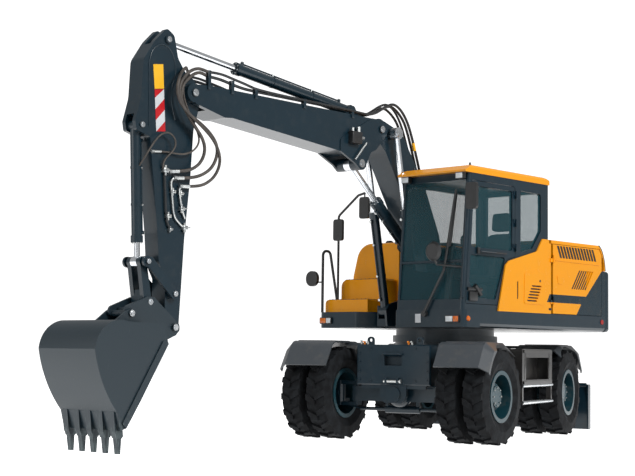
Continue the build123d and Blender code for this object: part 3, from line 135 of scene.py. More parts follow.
def soft_light(name, place, aim, size, watts, colour="#ffffff"):
    """A square soft box at a place, turned to face a point."""
    light = bpy.data.lights.new(name, "AREA")
    light.size = size
    light.energy = watts
    light.color = linear(colour)[:3]
    lamp = bpy.data.objects.new(name, light)
    direction = Vector(aim) - Vector(place)
    lamp.matrix_world = Matrix.Translation(place) @ direction.to_track_quat("-Z", "Y").to_matrix().to_4x4()
    bpy.context.scene.collection.objects.link(lamp)


soft_light("key_light", (7.0, 14.0, 12.0), (1.0, 0.0, 1.5), 5.0, 2300)
soft_light("fill_light", (14.0, -8.0, 6.0), (2.0, 0.0, 2.0), 8.0, 500)


def dress(material, *nodes):
    """Give CAD nodes a material in place of the record's plain one."""
    for name in nodes:
        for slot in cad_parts[name].material_slots:
            slot.link = "OBJECT"
            slot.material = material

# ------------------------------------------------------------ painted steelwork
# Chassis, booms, arm, platform and cab are welded plate in a dark teal two-pack
# enamel: a smooth gloss coat over faint orange peel, with faint patches of dust.


def enamel(name, colour, dusty, roughness=0.32, peel_mm=4.0, dust="#6f6a60", overpaint=None,
           dusting=0.07):
    """A sprayed enamel: colour, a little tone drift, settled dust and orange peel.

    overpaint is a second colour and a function that makes its mask in the node tree.
    """
    material, tree = new_material(name)
    place = add_node(tree, "ShaderNodeTexCoord").outputs["Object"]
    drift = add_node(tree, "ShaderNodeTexNoise", {"Scale": 1.7, "Detail": 3.0}, {"Vector": place})
    tone = add_node(tree, "ShaderNodeMix", {"data_type": "RGBA", 6: linear(colour), 7: linear(dusty)},
                    {0: drift.outputs[0]})
    paint = tone.outputs[2]
    if overpaint:
        masked = add_node(tree, "ShaderNodeMix", {"data_type": "RGBA", 7: linear(overpaint[0])},
                          {0: overpaint[1](tree, place), 6: paint})
        paint = masked.outputs[2]
    grime = add_node(tree, "ShaderNodeTexNoise", {"Scale": 9.0, "Detail": 6.0, "Roughness": 0.65},
                     {"Vector": place})
    patches = add_node(tree, "ShaderNodeMapRange", {"From Min": 0.52, "From Max": 0.8, "To Max": dusting},
                       {"Value": grime.outputs[0]})
    coat = add_node(tree, "ShaderNodeMix", {"data_type": "RGBA", 7: linear(dust)},
                    {0: patches.outputs[0], 6: paint})
    gloss = add_node(tree, "ShaderNodeMapRange", {"To Min": roughness, "To Max": roughness + 0.3},
                     {"Value": patches.outputs[0]})
    peel = add_node(tree, "ShaderNodeTexNoise", {"Scale": 1000 / peel_mm, "Detail": 1.0}, {"Vector": place})
    bump = add_node(tree, "ShaderNodeBump", {"Strength": 0.02, "Distance": 0.001},
                    {"Height": peel.outputs[0]})
    shader = add_node(tree, "ShaderNodeBsdfPrincipled",
                      {"Coat Weight": 0.25, "Coat Roughness": 0.1, "Specular IOR Level": 0.3},
                      {"Base Color": coat.outputs[2], "Roughness": gloss.outputs[0],
                       "Normal": bump.outputs[0]})
    add_node(tree, "ShaderNodeOutputMaterial", links={"Surface": shader.outputs[0]})
    return material


# Two coats of teal over zinc primer: dark, with a soft gloss.
teal_enamel = enamel("teal_enamel", "#0b212c", "#102a36")
dress(teal_enamel, "chassis_frame", "front_box", "front_axle", "rear_axle", "knuckle_left",
      "knuckle_right", "turret_frame", "counterweight", "cab_shell", "cab_door", "firewall", "lower_boom",
      "upper_boom", "arm", "rocker_links", "bucket_link", "dozer_blade", "boom_ram_barrel",
      "adjust_ram_barrel", "arm_ram_barrel", "bucket_ram_barrel", "blade_ram_barrels", "drive_line",
      "slew_ring", "steering_ram", "engine_block")
wheel_enamel = enamel("wheel_enamel", "#123640", "#1b434d", 0.36, dusting=0.35)
dress(wheel_enamel, "rims_front_left", "rims_front_right", "rims_rear_left", "rims_rear_right")
yellow_enamel = enamel("yellow_enamel", "#ffa200", "#ffaa06", 0.26, dust="#a58347", dusting=0.1)
dress(yellow_enamel, "cab_roof", "engine_hood", "right_cover")
fender_paint = enamel("grey_fender_paint", "#3c4146", "#4a4f54", 0.38, dusting=0.3)
dress(fender_paint, "fenders")
locker_paint = enamel("brown_grey_locker_paint", "#1e1e1e", "#2a2827", 0.4, dusting=0.35)
dress(locker_paint, "side_boxes")

# ------------------------------------------------- two-colour panels on the left
# The fixed panels and the service door are one sweep of yellow with a teal notch
# masked off before the second coat: its edges run across the seam between them.


def teal_notch(tree, place):
    """1 inside the masked notch: under its top edge, behind its front, outside the strip."""
    straight = add_node(tree, "ShaderNodeMapping",
                        {"vector_type": "POINT", "Rotation": (0, 0, math.radians(17))}, {"Vector": place})
    part = add_node(tree, "ShaderNodeSeparateXYZ", links={"Vector": straight.outputs[0]})
    x, z = part.outputs[0], part.outputs[2]
    rise = add_node(tree, "ShaderNodeMapRange", {"From Min": -1.596, "From Max": -1.239, "To Min": 2.048,
                                                 "To Max": 1.72}, {"Value": x})
    below = add_node(tree, "ShaderNodeMath", {"operation": "LESS_THAN"}, {0: z, 1: rise.outputs[0]})
    lean = add_node(tree, "ShaderNodeMapRange", {"From Min": 1.627, "From Max": 1.718, "To Min": -0.374,
                                                 "To Max": -0.429}, {"Value": z})
    behind = add_node(tree, "ShaderNodeMath", {"operation": "LESS_THAN"}, {0: x, 1: lean.outputs[0]})
    under = add_node(tree, "ShaderNodeMath", {"operation": "LESS_THAN", 1: 1.622}, {0: z})
    slant = add_node(tree, "ShaderNodeMapRange", {"From Min": 1.478, "From Max": 1.612, "To Min": -1.01,
                                                  "To Max": -1.119}, {"Value": z})
    ahead_of_end = add_node(tree, "ShaderNodeMath", {"operation": "GREATER_THAN"},
                            {0: x, 1: slant.outputs[0]})
    strip = add_node(tree, "ShaderNodeMath", {"operation": "MULTIPLY"},
                     {0: under.outputs[0], 1: ahead_of_end.outputs[0]})
    outside = add_node(tree, "ShaderNodeMath", {"operation": "SUBTRACT", 0: 1.0}, {1: strip.outputs[0]})
    notch = add_node(tree, "ShaderNodeMath", {"operation": "MULTIPLY"},
                     {0: below.outputs[0], 1: behind.outputs[0]})
    return add_node(tree, "ShaderNodeMath", {"operation": "MULTIPLY"},
                    {0: notch.outputs[0], 1: outside.outputs[0]}).outputs[0]


panel_enamel = enamel("masked_panel_enamel", "#ffa200", "#ffaa06", 0.26, dust="#a58347",
                      overpaint=("#0e2833", teal_notch), dusting=0.1)
dress(panel_enamel, "left_panels", "service_door")

# ------------------------------------------------------------- bucket and coupler
# The bucket is wear plate in the same teal, scoured by earth: streaks of bare steel
# run down to the lip, where the paint is almost gone, and the teeth are bright.
worn_bucket, tree = new_material("scoured_bucket_enamel")
place = add_node(tree, "ShaderNodeTexCoord").outputs["Object"]
part = add_node(tree, "ShaderNodeSeparateXYZ", links={"Vector": place})
streaks = add_node(tree, "ShaderNodeMapping", {"Scale": (1.0, 1.0, 0.16)}, {"Vector": place})
scrape = add_node(tree, "ShaderNodeTexNoise", {"Scale": 38.0, "Detail": 5.0, "Roughness": 0.7},
                  {"Vector": streaks.outputs[0]})
low_down = add_node(tree, "ShaderNodeMapRange",
                    {"From Min": 0.02, "From Max": 0.62, "To Min": 0.2, "To Max": -0.08},
                    {"Value": part.outputs[2]})
wear = add_node(tree, "ShaderNodeMath", {"operation": "ADD"},
                {0: scrape.outputs[0], 1: low_down.outputs[0]})
bare = add_node(tree, "ShaderNodeMapRange", {"From Min": 0.58, "From Max": 0.7}, {"Value": wear.outputs[0]})
colour = add_node(tree, "ShaderNodeMix", {"data_type": "RGBA", 6: linear("#0d232d"), 7: linear("#4d5658")},
                  {0: bare.outputs[0]})
metal = add_node(tree, "ShaderNodeMath", {"operation": "MULTIPLY", 1: 0.75}, {0: bare.outputs[0]})
gloss = add_node(tree, "ShaderNodeMapRange", {"To Min": 0.42, "To Max": 0.36}, {"Value": bare.outputs[0]})
bump = add_node(tree, "ShaderNodeBump", {"Strength": 0.25, "Distance": 0.002},
                {"Height": scrape.outputs[0]})
shader = add_node(tree, "ShaderNodeBsdfPrincipled",
                  links={"Base Color": colour.outputs[2], "Metallic": metal.outputs[0],
                         "Roughness": gloss.outputs[0], "Normal": bump.outputs[0]})
add_node(tree, "ShaderNodeOutputMaterial", links={"Surface": shader.outputs[0]})
dress(worn_bucket, "bucket", "quick_coupler")

# ------------------------------------------------------------------------ tyres
# Twin tyres of black filled rubber: a matt surface, slightly bloomed in soft patches,
# over the fine grain that the steel mould leaves.


def grained_finish(name, colour, bloom, roughness, grain_mm, bump_height=0.3, patch_mm=90,
                   metallic=0.0, specular=0.5):
    """A moulded or cast surface: two tones in soft patches over a fine grain."""
    material, tree = new_material(name)
    place = add_node(tree, "ShaderNodeTexCoord").outputs["Object"]
    patch = add_node(tree, "ShaderNodeTexNoise", {"Scale": 1000 / patch_mm, "Detail": 5.0},
                     {"Vector": place})
    tone = add_node(tree, "ShaderNodeMapRange", {"From Min": 0.4, "From Max": 0.72},
                    {"Value": patch.outputs[0]})
    blend = add_node(tree, "ShaderNodeMix", {"data_type": "RGBA", 6: linear(colour), 7: linear(bloom)},
                     {0: tone.outputs[0]})
    grain = add_node(tree, "ShaderNodeTexNoise", {"Scale": 1000 / grain_mm, "Detail": 3.0},
                     {"Vector": place})
    gloss = add_node(tree, "ShaderNodeMapRange", {"To Min": roughness - 0.08, "To Max": roughness + 0.08},
                     {"Value": grain.outputs[0]})
    bump = add_node(tree, "ShaderNodeBump", {"Strength": bump_height, "Distance": 0.001},
                    {"Height": grain.outputs[0]})
    shader = add_node(tree, "ShaderNodeBsdfPrincipled",
                      {"Metallic": metallic, "Specular IOR Level": specular},
                      {"Base Color": blend.outputs[2], "Roughness": gloss.outputs[0],
                       "Normal": bump.outputs[0]})
    add_node(tree, "ShaderNodeOutputMaterial", links={"Surface": shader.outputs[0]})
    return material


tyre_rubber = grained_finish("tyre_rubber", "#141517", "#25282b", 0.8, 3.0, 0.4, specular=0.15)
dress(tyre_rubber, "tyres_front_left", "tyres_front_right", "tyres_rear_left", "tyres_rear_right")

# ------------------------------------------------------------- rods of the rams
# Ram rods are ground steel with hard chrome plating: a mirror with very fine rings
# left by the grinding wheel, and a thin film of oil.
hard_chrome = grained_finish("hard_chrome", "#cfd3d8", "#e2e4e6", 0.16, 1.5, 0.04, metallic=1.0)
dress(hard_chrome, "boom_ram_rod", "adjust_ram_rod", "arm_ram_rod", "bucket_ram_rod", "blade_ram_rods")

# --------------------------------------------------------- cab glass and plastics
# Safety glass tinted green-blue, 8 mm thick.  Rails, mirrors and lamp bodies are
# black moulded plastic or black satin paint on tube.
safety_glass, tree = new_material("tinted_safety_glass")
place = add_node(tree, "ShaderNodeTexCoord").outputs["Object"]
film = add_node(tree, "ShaderNodeTexNoise", {"Scale": 6.0, "Detail": 2.0}, {"Vector": place})
smear = add_node(tree, "ShaderNodeMapRange", {"To Min": 0.02, "To Max": 0.05}, {"Value": film.outputs[0]})
shader = add_node(tree, "ShaderNodeBsdfPrincipled",
                  {"Base Color": linear("#2f5c66"), "Alpha": 0.3, "IOR": 1.5},
                  {"Roughness": smear.outputs[0]})
add_node(tree, "ShaderNodeOutputMaterial", links={"Surface": shader.outputs[0]})
dress(safety_glass, "cab_glass", "cab_door_glass")
black_plastic = grained_finish("black_moulded_plastic", "#141516", "#1d1f21", 0.45, 1.2, 0.2)
dress(black_plastic, "mirror_pole", "mirrors", "right_handrail", "lamps", "cab_controls")


# ------------------------------------------------------------------- wheel nuts
# Each wheel's twin rims are held on the hub by ten plated nuts on studs, and the
# hub's round end cap by eight small bolts.  Steered wheels stand 6 degrees turned.


def add_rod(shape, start, end, radius, sides=20, finish=0, tip=None):
    """A round bar, or a cone where tip is given, between two points."""
    start, end = Vector(start), Vector(end)
    facing = (end - start).to_track_quat("Z", "Y").to_matrix().to_4x4()
    made = bmesh.ops.create_cone(shape, cap_ends=True, segments=sides, radius1=radius,
                                 radius2=radius if tip is None else tip, depth=(end - start).length,
                                 matrix=Matrix.Translation((start + end) / 2) @ facing)
    for face in {face for corner in made["verts"] for face in corner.link_faces}:
        face.material_index = finish


def settle(name, shape, body, *materials, turn=None):
    """Turn a finished shape to its heading, smooth it and ride it on a body."""
    if turn is not None:
        bmesh.ops.transform(shape, matrix=turn, verts=shape.verts)
    bmesh.ops.recalc_face_normals(shape, faces=shape.faces)
    mesh = bpy.data.meshes.new(name)
    shape.to_mesh(mesh)
    shape.free()
    for material in materials:
        mesh.materials.append(material)
    mesh.shade_smooth()
    mesh.set_sharp_from_angle(angle=math.radians(38))
    piece = bpy.data.objects.new(name, mesh)
    bpy.context.scene.collection.objects.link(piece)
    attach(piece, body)
    return piece


zinc_plate = grained_finish("zinc_plated_steel", "#a9adae", "#c3c5c2", 0.34, 1.0, 0.15, metallic=0.9)
front_axle_x, rear_axle_x, axle_z = 1.43, -1.17, 0.5275
kingpin_y = 0.74
for side, hand in (("left", 1), ("right", -1)):
    for station, axle_x in (("front", front_axle_x), ("rear", rear_axle_x)):
        nuts = bmesh.new()
        for ring_radius, count, y_low, y_high, size in ((0.206, 10, 0.958, 0.984, 0.019),
                                                        (0.098, 8, 1.166, 1.177, 0.0105)):
            for step in range(count):
                angle = math.tau * step / count
                x = axle_x + ring_radius * math.cos(angle)
                z = axle_z + ring_radius * math.sin(angle)
                add_rod(nuts, (x, hand * y_low, z), (x, hand * y_high, z), size, 6)
                add_rod(nuts, (x, hand * y_high, z), (x, hand * (y_high + size * 0.7), z),
                        size * 0.55, 10)
        turn = None
        if station == "front":
            kingpin = Vector((front_axle_x, hand * kingpin_y, 0))
            turn = (Matrix.Translation(kingpin) @ Matrix.Rotation(math.radians(-6), 4, "Z")
                    @ Matrix.Translation(-kingpin))
        settle(f"wheel_nuts_{station}_{side}", nuts, f"wheels_{station}_{side}", zinc_plate, turn=turn)

# -------------------------------------------------------------- front box fittings
# The cross box ahead of the axle is bolted on with hex bolts painted over in teal; it
# carries a plated towing pin in its lugs and five plated or anodised hose couplings.


def add_block(shape, low, high, rounding=0.0, finish=0):
    """A block between two corners, its edges rounded where rounding is given."""
    made = bmesh.ops.create_cube(shape, size=1)
    low, high = Vector(low), Vector(high)
    bmesh.ops.scale(shape, vec=high - low, verts=made["verts"])
    bmesh.ops.translate(shape, vec=(high + low) / 2, verts=made["verts"])
    for face in {face for corner in made["verts"] for face in corner.link_faces}:
        face.material_index = finish
    if rounding:
        edges = list(dict.fromkeys(edge for corner in made["verts"] for edge in corner.link_edges))
        bmesh.ops.bevel(shape, geom=edges, offset=rounding, segments=2, profile=0.5, affect="EDGES",
                        material=-1)


amber_anodised = grained_finish("amber_anodised_fitting", "#d8781c", "#e8922e", 0.3, 0.8, 0.1, metallic=0.6)
box_front_x = 1.65
fittings = bmesh.new()
for y in (-0.41, 0.41):
    for z in (0.69, 0.79, 0.89, 0.99):
        add_rod(fittings, (box_front_x - 0.002, y, z), (box_front_x + 0.011, y, z), 0.014, 6, 2)
for y in (-0.27, 0.27):
    for z in (0.68, 1.04):
        add_rod(fittings, (box_front_x - 0.002, y, z), (box_front_x + 0.011, y, z), 0.012, 6, 2)
add_rod(fittings, (1.682, -0.1, 0.675), (1.682, 0.1, 0.675), 0.016, 16)
add_rod(fittings, (1.682, 0.1, 0.675), (1.682, 0.112, 0.675), 0.026, 16)
coupling_x = box_front_x - 0.05
for y, z, finish in ((-0.33, 1.1, 0), (-0.37, 1.1, 1), (-0.41, 1.11, 0), (0.17, 1.1, 1), (0.21, 1.1, 0)):
    add_rod(fittings, (coupling_x, y, 1.08), (coupling_x, y, z + 0.02), 0.013, 12, finish)
    add_rod(fittings, (coupling_x, y, z + 0.012), (box_front_x - 0.018, y, z + 0.018), 0.009, 10, finish)
settle("front_box_fittings", fittings, "undercarriage", zinc_plate, amber_anodised, teal_enamel)

# -------------------------------------------------------------------- cab seals
# The door's panes and the pane behind the door sit in black extruded rubber seals.  Here
# each is only an edge line 3 to 4 mm proud round its pane, without the real one's width.
# The door also has its black lock, handle and catch.
upper_turn = Matrix.Rotation(math.radians(-17), 4, "Z")
black_seal = grained_finish("black_window_seal", "#0c0d0e", "#15171a", 0.5, 0.9, 0.2)
cab_foot_z, cab_roof_z = 1.485, 3.03


def cab_front(z, inset=0.0):
    """Where the cab's raked front is at a height, less an inset."""
    return 1.27 - 0.12 * (z - cab_foot_z) / (cab_roof_z - cab_foot_z) - inset


def add_band(shape, outline, y_low, y_high, width):
    """A ring inside an outline of (x, z) points, as thick as y_low to y_high.

    Known fault: the new face has no normal when it's inset, so the ring gets no width
    and stands as a doubled strip along the outline.
    """
    face = shape.faces.new([shape.verts.new((x, y_low, z)) for x, z in outline])
    ring = bmesh.ops.inset_individual(shape, faces=[face], thickness=width, use_even_offset=True)["faces"]
    bmesh.ops.delete(shape, geom=[face], context="FACES_ONLY")
    pushed = bmesh.ops.extrude_face_region(shape, geom=ring)["geom"]
    corners = [part for part in pushed if isinstance(part, bmesh.types.BMVert)]
    bmesh.ops.translate(shape, vec=(0, y_high - y_low, 0), verts=corners)


door_bands = bmesh.new()
add_band(door_bands, [(0.322, 2.89), (cab_front(2.89, 0.094), 2.89), (cab_front(2.19, 0.094), 2.19),
                      (0.322, 2.19)], 1.2063, 1.2105, 0.042)
add_band(door_bands, [(0.455, 2.108), (cab_front(2.108, 0.094), 2.108), (cab_front(1.79, 0.094), 1.79),
                      (0.985, 1.628), (0.652, 1.612)], 1.2063, 1.2105, 0.02)
add_block(door_bands, (0.93, 1.223, 1.70), (cab_front(1.7, 0.06), 1.246, 1.735), 0.006)
add_block(door_bands, (1.02, 1.223, 1.585), (1.17, 1.252, 1.69), 0.012)
add_rod(door_bands, (1.0, 1.236, 2.12), (1.0, 1.236, 2.19), 0.02, 16)
settle("door_seals_and_lock", door_bands, "cab_door", black_seal, turn=upper_turn)
side_bands = bmesh.new()
add_band(side_bands, [(0.152, 2.188), (0.152, 2.915), (-0.268, 2.905), (-0.268, 2.462), (-0.08, 2.238)],
         1.2063, 1.2095, 0.02)
settle("rear_side_seal", side_bands, "upper_structure", black_seal, turn=upper_turn)

# ------------------------------------------------------------------ seat in the cab
# A suspension seat: foam cushions sewn in black woven cloth, crowned between their
# edges.  The forms are rounded blocks, subdivided and relaxed, not simulated.
seat_cloth = grained_finish("black_woven_seat_cloth", "#16181b", "#24272b", 0.85, 2.0, 0.6)
seat_middle_y = 0.742
for name, low, high, lean in (("seat_cushion", (-0.07, -0.235, 1.80), (0.44, 0.235, 1.92), 0),
                              ("seat_back", (-0.2, -0.225, 1.9), (-0.07, 0.225, 2.44), -6),
                              ("seat_headrest", (-0.19, -0.13, 2.47), (-0.1, 0.13, 2.69), -6)):
    pad = bmesh.new()
    add_block(pad, low, high)
    bmesh.ops.subdivide_edges(pad, edges=pad.edges[:], cuts=7, use_grid_fill=True)
    for _ in range(5):
        bmesh.ops.smooth_vert(pad, verts=pad.verts[:], factor=0.5, use_axis_x=True, use_axis_y=True,
                              use_axis_z=True)
    foot = Vector((low[0], 0, low[2]))
    bmesh.ops.rotate(pad, cent=foot, matrix=Matrix.Rotation(math.radians(lean), 3, "Y"),
                     verts=pad.verts)
    bmesh.ops.translate(pad, vec=(0, seat_middle_y, 0), verts=pad.verts)
    cushion = settle(name, pad, "upper_structure", seat_cloth, turn=upper_turn)
    cushion.data.shade_smooth()
    if name == "seat_cushion":
        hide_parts("operator_seat")

# ------------------------------------------------------- windscreen wiper and mirror
# A black painted wiper arm of steel strip slants over the windscreen from its motor on
# the sill.  A small round moulded mirror stands before it on a bent rod, and two short
# aerials stand on the roof.
screen_gear = bmesh.new()
wiper_path = [(cab_front(z) + out, y, z)
              for y, z, out in ((0.7, 1.44, 0.04), (0.96, 1.93, 0.035), (1.07, 2.84, 0.035))]
for start, end in zip(wiper_path, wiper_path[1:]):
    add_rod(screen_gear, start, end, 0.016, 12)
add_rod(screen_gear, wiper_path[0], (cab_front(1.44) - 0.02, 0.7, 1.44), 0.034, 20)
add_rod(screen_gear, (cab_front(2.3) + 0.02, 1.0, 2.2), (cab_front(2.8) + 0.022, 1.06, 2.8), 0.02, 10)
mirror_x, mirror_y, mirror_z = cab_front(2.14) + 0.12, 0.86, 2.14
add_rod(screen_gear, (mirror_x, mirror_y, mirror_z), (cab_front(mirror_z) + 0.148, mirror_y, mirror_z),
        0.112, 32, tip=0.085)
bend = (cab_front(2.0) + 0.1, 0.9, 1.99)
for start, end in (((mirror_x, mirror_y, 2.1), bend), (bend, (cab_front(1.98), 1.18, 1.96))):
    add_rod(screen_gear, start, end, 0.012, 12)
for y in (0.34, 1.15):
    add_rod(screen_gear, (1.05, y, 3.11), (1.05, y, 3.155), 0.018, 14, tip=0.01)
settle("windscreen_wiper_and_mirror", screen_gear, "upper_structure", black_plastic, turn=upper_turn)

# ------------------------------------------------------------------ mirror glasses
# Silvered glass set in the rear face of each mirror's black housing.
silvered_glass = grained_finish("silvered_mirror_glass", "#aeb6ba", "#b8c0c4", 0.1, 1.0, 0.0,
                                metallic=1.0)
glasses = bmesh.new()
mirror_width = 0.13
for x, y, z, height in ((0.7353, -1.12, 2.52, 0.25), (0.622, -0.79, 2.79, 0.25), (1.24, 1.32, 2.75, 0.28)):
    add_block(glasses, (x - 0.0225, y - mirror_width / 2, z - height / 2),
              (x - 0.0195, y + mirror_width / 2, z + height / 2))
add_rod(glasses, (0.9975, -1.29, 1.9), (1.0005, -1.29, 1.9), 0.084, 32)
settle("mirror_glasses", glasses, "upper_structure", silvered_glass, turn=upper_turn)

# -------------------------------------------------------------------- lamp lenses
# Moulded prismatic plastic, snapped into each housing: clear work-lamp lenses under the
# roof's peak, a clear headlamp beside an amber one at the deck's front corners, an amber
# marker on the left side and red reflectors at the tail.
clear_lens = grained_finish("clear_prismatic_lens", "#dfe6ea", "#f4f7f8", 0.14, 6.0, 0.9)
amber_lens = grained_finish("amber_prismatic_lens", "#e06a08", "#f08a1a", 0.16, 6.0, 0.9)
red_lens = grained_finish("red_reflector_lens", "#a8120c", "#c82a1a", 0.16, 5.0, 0.9)
lenses = bmesh.new()
for y in (0.352, 1.132):
    add_block(lenses, (1.228, y - 0.045, 2.962), (1.236, y + 0.045, 3.022), 0.003)
for x, y, low_finish, high_finish in ((1.295, 1.09, 0, 1), (0.995, -1.09, 1, 0)):
    add_block(lenses, (x - 0.002, y - 0.085, 1.35), (x + 0.007, y + 0.01, 1.41), 0.003, low_finish)
    add_block(lenses, (x - 0.002, y + 0.018, 1.35), (x + 0.007, y + 0.085, 1.41), 0.003, high_finish)
add_rod(lenses, (1.19, 1.24, 1.385), (1.19, 1.252, 1.385), 0.032, 24, 1, tip=0.024)
add_rod(lenses, (-1.6, 1.24, 1.413), (-1.6, 1.249, 1.413), 0.03, 24, 2)
for y in (-0.9, 0.95):
    add_rod(lenses, (-1.81, y, 1.42), (-1.855, y, 1.42), 0.045, 24, 2)
settle("lamp_lenses", lenses, "upper_structure", clear_lens, amber_lens, red_lens, turn=upper_turn)

# ------------------------------------------------------------- body panel fittings
# Black moulded handle recess and key cylinders in the yellow panels; a dark brown sheet
# behind the louvres and each grille, its colour painted shade for the engine bay seen
# through the slots; three rubber seals pushed on the hood's rear edge.
# Painted shade: this dark brown stands for the shade inside the engine bay behind the slots.
painted_shade_sheet = grained_finish("painted_shade_behind_slots", "#1c1610", "#3a2a18", 0.6, 4.0, 1.0)
panel_bits = bmesh.new()
add_block(panel_bits, (0.2225, 1.2265, 1.641), (0.2455, 1.233, 1.841))
# The louvre back below takes the painted shade sheet (finish 1).
add_block(panel_bits, (-0.256, 1.2262, 1.615), (0.046, 1.2285, 1.812), finish=1)
for x, z in ((-0.22, 1.866), (-0.44, 1.54)):
    add_rod(panel_bits, (x, 1.238, z), (x, 1.249, z), 0.014, 16)
    # Known fault: rounded past half its thickness, this backing plate comes inside out.
    add_block(panel_bits, (x - 0.03, 1.2395, z - 0.012), (x + 0.03, 1.2425, z + 0.012), 0.002)
settle("panel_handle_and_louvre_backs", panel_bits, "upper_structure", black_plastic, painted_shade_sheet,
       turn=upper_turn)
# Flat sheets behind the two grilles, coloured as painted shade for the bay seen through them.
slot_shade_sheets = bmesh.new()
add_block(slot_shade_sheets, (-1.485, 1.2335, 2.155), (-0.56, 1.2365, 2.323))
add_block(slot_shade_sheets, (-1.25, 1.2335, 1.795), (-0.87, 1.2365, 2.041))
settle("grille_shade_backing", slot_shade_sheets, "service_door", painted_shade_sheet, turn=upper_turn)


def add_hose(name, points, radius, material, body):
    """A round hose or bent pipe swept along a smooth line drawn by given points."""
    line = bpy.data.curves.new(name, "CURVE")
    line.dimensions = "3D"
    spline = line.splines.new("NURBS")
    spline.points.add(len(points) - 1)
    for knot, point in zip(spline.points, points):
        knot.co = (*(upper_turn @ Vector(point)), 1.0)
    spline.order_u = 3
    spline.use_endpoint_u = True
    line.bevel_depth = radius
    line.bevel_resolution = 3
    line.resolution_u = 5
    line.use_fill_caps = True
    former = bpy.data.objects.new(name + "_line", line)
    bpy.context.scene.collection.objects.link(former)
    bpy.context.view_layer.update()
    mesh = bpy.data.meshes.new_from_object(former.evaluated_get(bpy.context.evaluated_depsgraph_get()))
    bpy.data.objects.remove(former)
    bpy.data.curves.remove(line)
    mesh.materials.clear()
    mesh.materials.append(material)
    mesh.name = name
    piece = bpy.data.objects.new(name, mesh)
    bpy.context.scene.collection.objects.link(piece)
    if body:
        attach(piece, body)
    return piece


for name, y in (("hood_edge_seal_239", 1.236), ("hood_edge_seal_500", 0.5), ("hood_edge_seal_557", -0.44)):
    add_hose(name, [(-1.545, y, 2.37), (-1.6, y, 2.33), (-1.64, y, 2.26), (-1.68, y, 2.15),
                    (-1.688, y, 2.06)], 0.009, black_seal, "engine_hood")

# ---------------------------------------------------- right cover: cap and treads
# A black moulded fuel cap and three latches on the tank housing; punched grey tread
# plates with raised rings are bolted on the two boxes that serve as steps.
tread_steel = grained_finish("punched_tread_plate", "#2a2c2e", "#3c3f41", 0.5, 9.0, 0.8, metallic=0.4)
cover_bits = bmesh.new()
add_rod(cover_bits, (0.12, -0.8, 2.36), (0.12, -0.8, 2.4), 0.05, 24)
add_rod(cover_bits, (0.12, -0.8, 2.4), (0.12, -0.8, 2.412), 0.036, 24)
for x_low, x_high, y_low, y_high, z in ((0.345, 0.585, -1.13, -0.53, 1.9),
                                        (0.61, 0.84, -1.18, -0.56, 1.64)):
    add_block(cover_bits, (x_low, y_low, z - 0.001), (x_high, y_high, z + 0.006), 0.002, 1)
    for column in range(4):
        for row in range(9):
            x = x_low + 0.035 + column * (x_high - x_low - 0.07) / 3
            y = y_low + 0.04 + row * (y_high - y_low - 0.08) / 8
            add_rod(cover_bits, (x, y, z + 0.005), (x, y, z + 0.01), 0.012, 10, 1, tip=0.009)
for x in (-1.2, -0.5, 0.2):
    add_block(cover_bits, (x - 0.04, -1.247, 1.55), (x + 0.04, -1.239, 1.585), 0.004)
settle("tank_cap_and_treads", cover_bits, "upper_structure", black_plastic, tread_steel, turn=upper_turn)

# --------------------------------------------------------------------- hood top
# Black plastic air slots clipped in the hood's lid, and a short black exhaust outlet
# beside them.
lid_bits = bmesh.new()
for step in range(7):
    y = -0.25 + step * 0.2
    add_block(lid_bits, (-1.25, y, 2.374), (-0.8, y + 0.05, 2.379), 0.002)
add_rod(lid_bits, (-0.66, -0.2, 2.37), (-0.66, -0.2, 2.46), 0.055, 24)
add_rod(lid_bits, (-0.66, -0.2, 2.46), (-0.7, -0.2, 2.5), 0.055, 24, tip=0.045)
settle("hood_slots_and_exhaust", lid_bits, "engine_hood", black_plastic, turn=upper_turn)

# ------------------------------------------------------------------- pin ends
# The pins of the boom, arm and bucket joints end in turned steel caps, each with a
# raised boss and two bolts.
boom_middle_y = -0.06
pin_ends = (  # x, z, distance of the cap from the boom's middle plane, radius, body
    (0.25, 1.73, 0.2, 0.042, "upper_structure"),
    (1.39, 3.59, 0.198, 0.04, "upper_boom"),
    (1.73, 3.155, 0.18, 0.048, "upper_boom"),
    (1.19, 3.56, 0.283, 0.044, "lower_boom"),
    (4.32, 3.6, 0.185, 0.038, "upper_boom"),
    (4.63, 4.105, 0.118, 0.03, "arm"),
    (4.95, 3.2, 0.112, 0.028, "arm"),
    (4.52, 1.548, 0.17, 0.028, "arm"),
    (4.885, 1.852, 0.176, 0.026, "rocker"),
    (4.5, 1.215, 0.158, 0.033, "bucket"),
    (4.815, 1.458, 0.134, 0.03, "bucket"),
    (4.69, 1.105, 0.174, 0.032, "bucket"),
    (5.078, 1.338, 0.174, 0.032, "bucket"),
)
turned_steel = grained_finish("turned_bright_steel", "#b9bec2", "#d2d5d6", 0.24, 1.2, 0.12, metallic=1.0)
for number, (x, z, reach, radius, body) in enumerate(pin_ends):
    caps = bmesh.new()
    for hand in (1, -1):
        y = boom_middle_y + hand * reach
        add_rod(caps, (x, y - hand * 0.002, z), (x, y + hand * 0.007, z), radius, 28)
        add_rod(caps, (x, y + hand * 0.006, z), (x, y + hand * 0.012, z), radius * 0.55, 24)
        for side in (-1, 1):
            bolt_x = x + side * radius * 0.75
            add_rod(caps, (bolt_x, y + hand * 0.006, z), (bolt_x, y + hand * 0.012, z),
                    radius * 0.16, 6)
    settle(f"pin_caps_{number}_{body}", caps, body, turned_steel, turn=upper_turn)

# ------------------------------------------------------- plates on the arm's side
# A blank yellow plate above a strip of retro-reflective sheet in red and white
# slanting bands, both stuck to the arm's side, and the arm's welded edge round them.
plate_yellow = grained_finish("yellow_plate_paint", "#ffbf12", "#ffc62a", 0.35, 1.5, 0.1)
sheet_white = grained_finish("white_reflective_sheet", "#d6dade", "#e6e9ec", 0.3, 2.0, 0.3)
sheet_red = grained_finish("red_reflective_sheet", "#c40f1a", "#d31c26", 0.3, 2.0, 0.3)


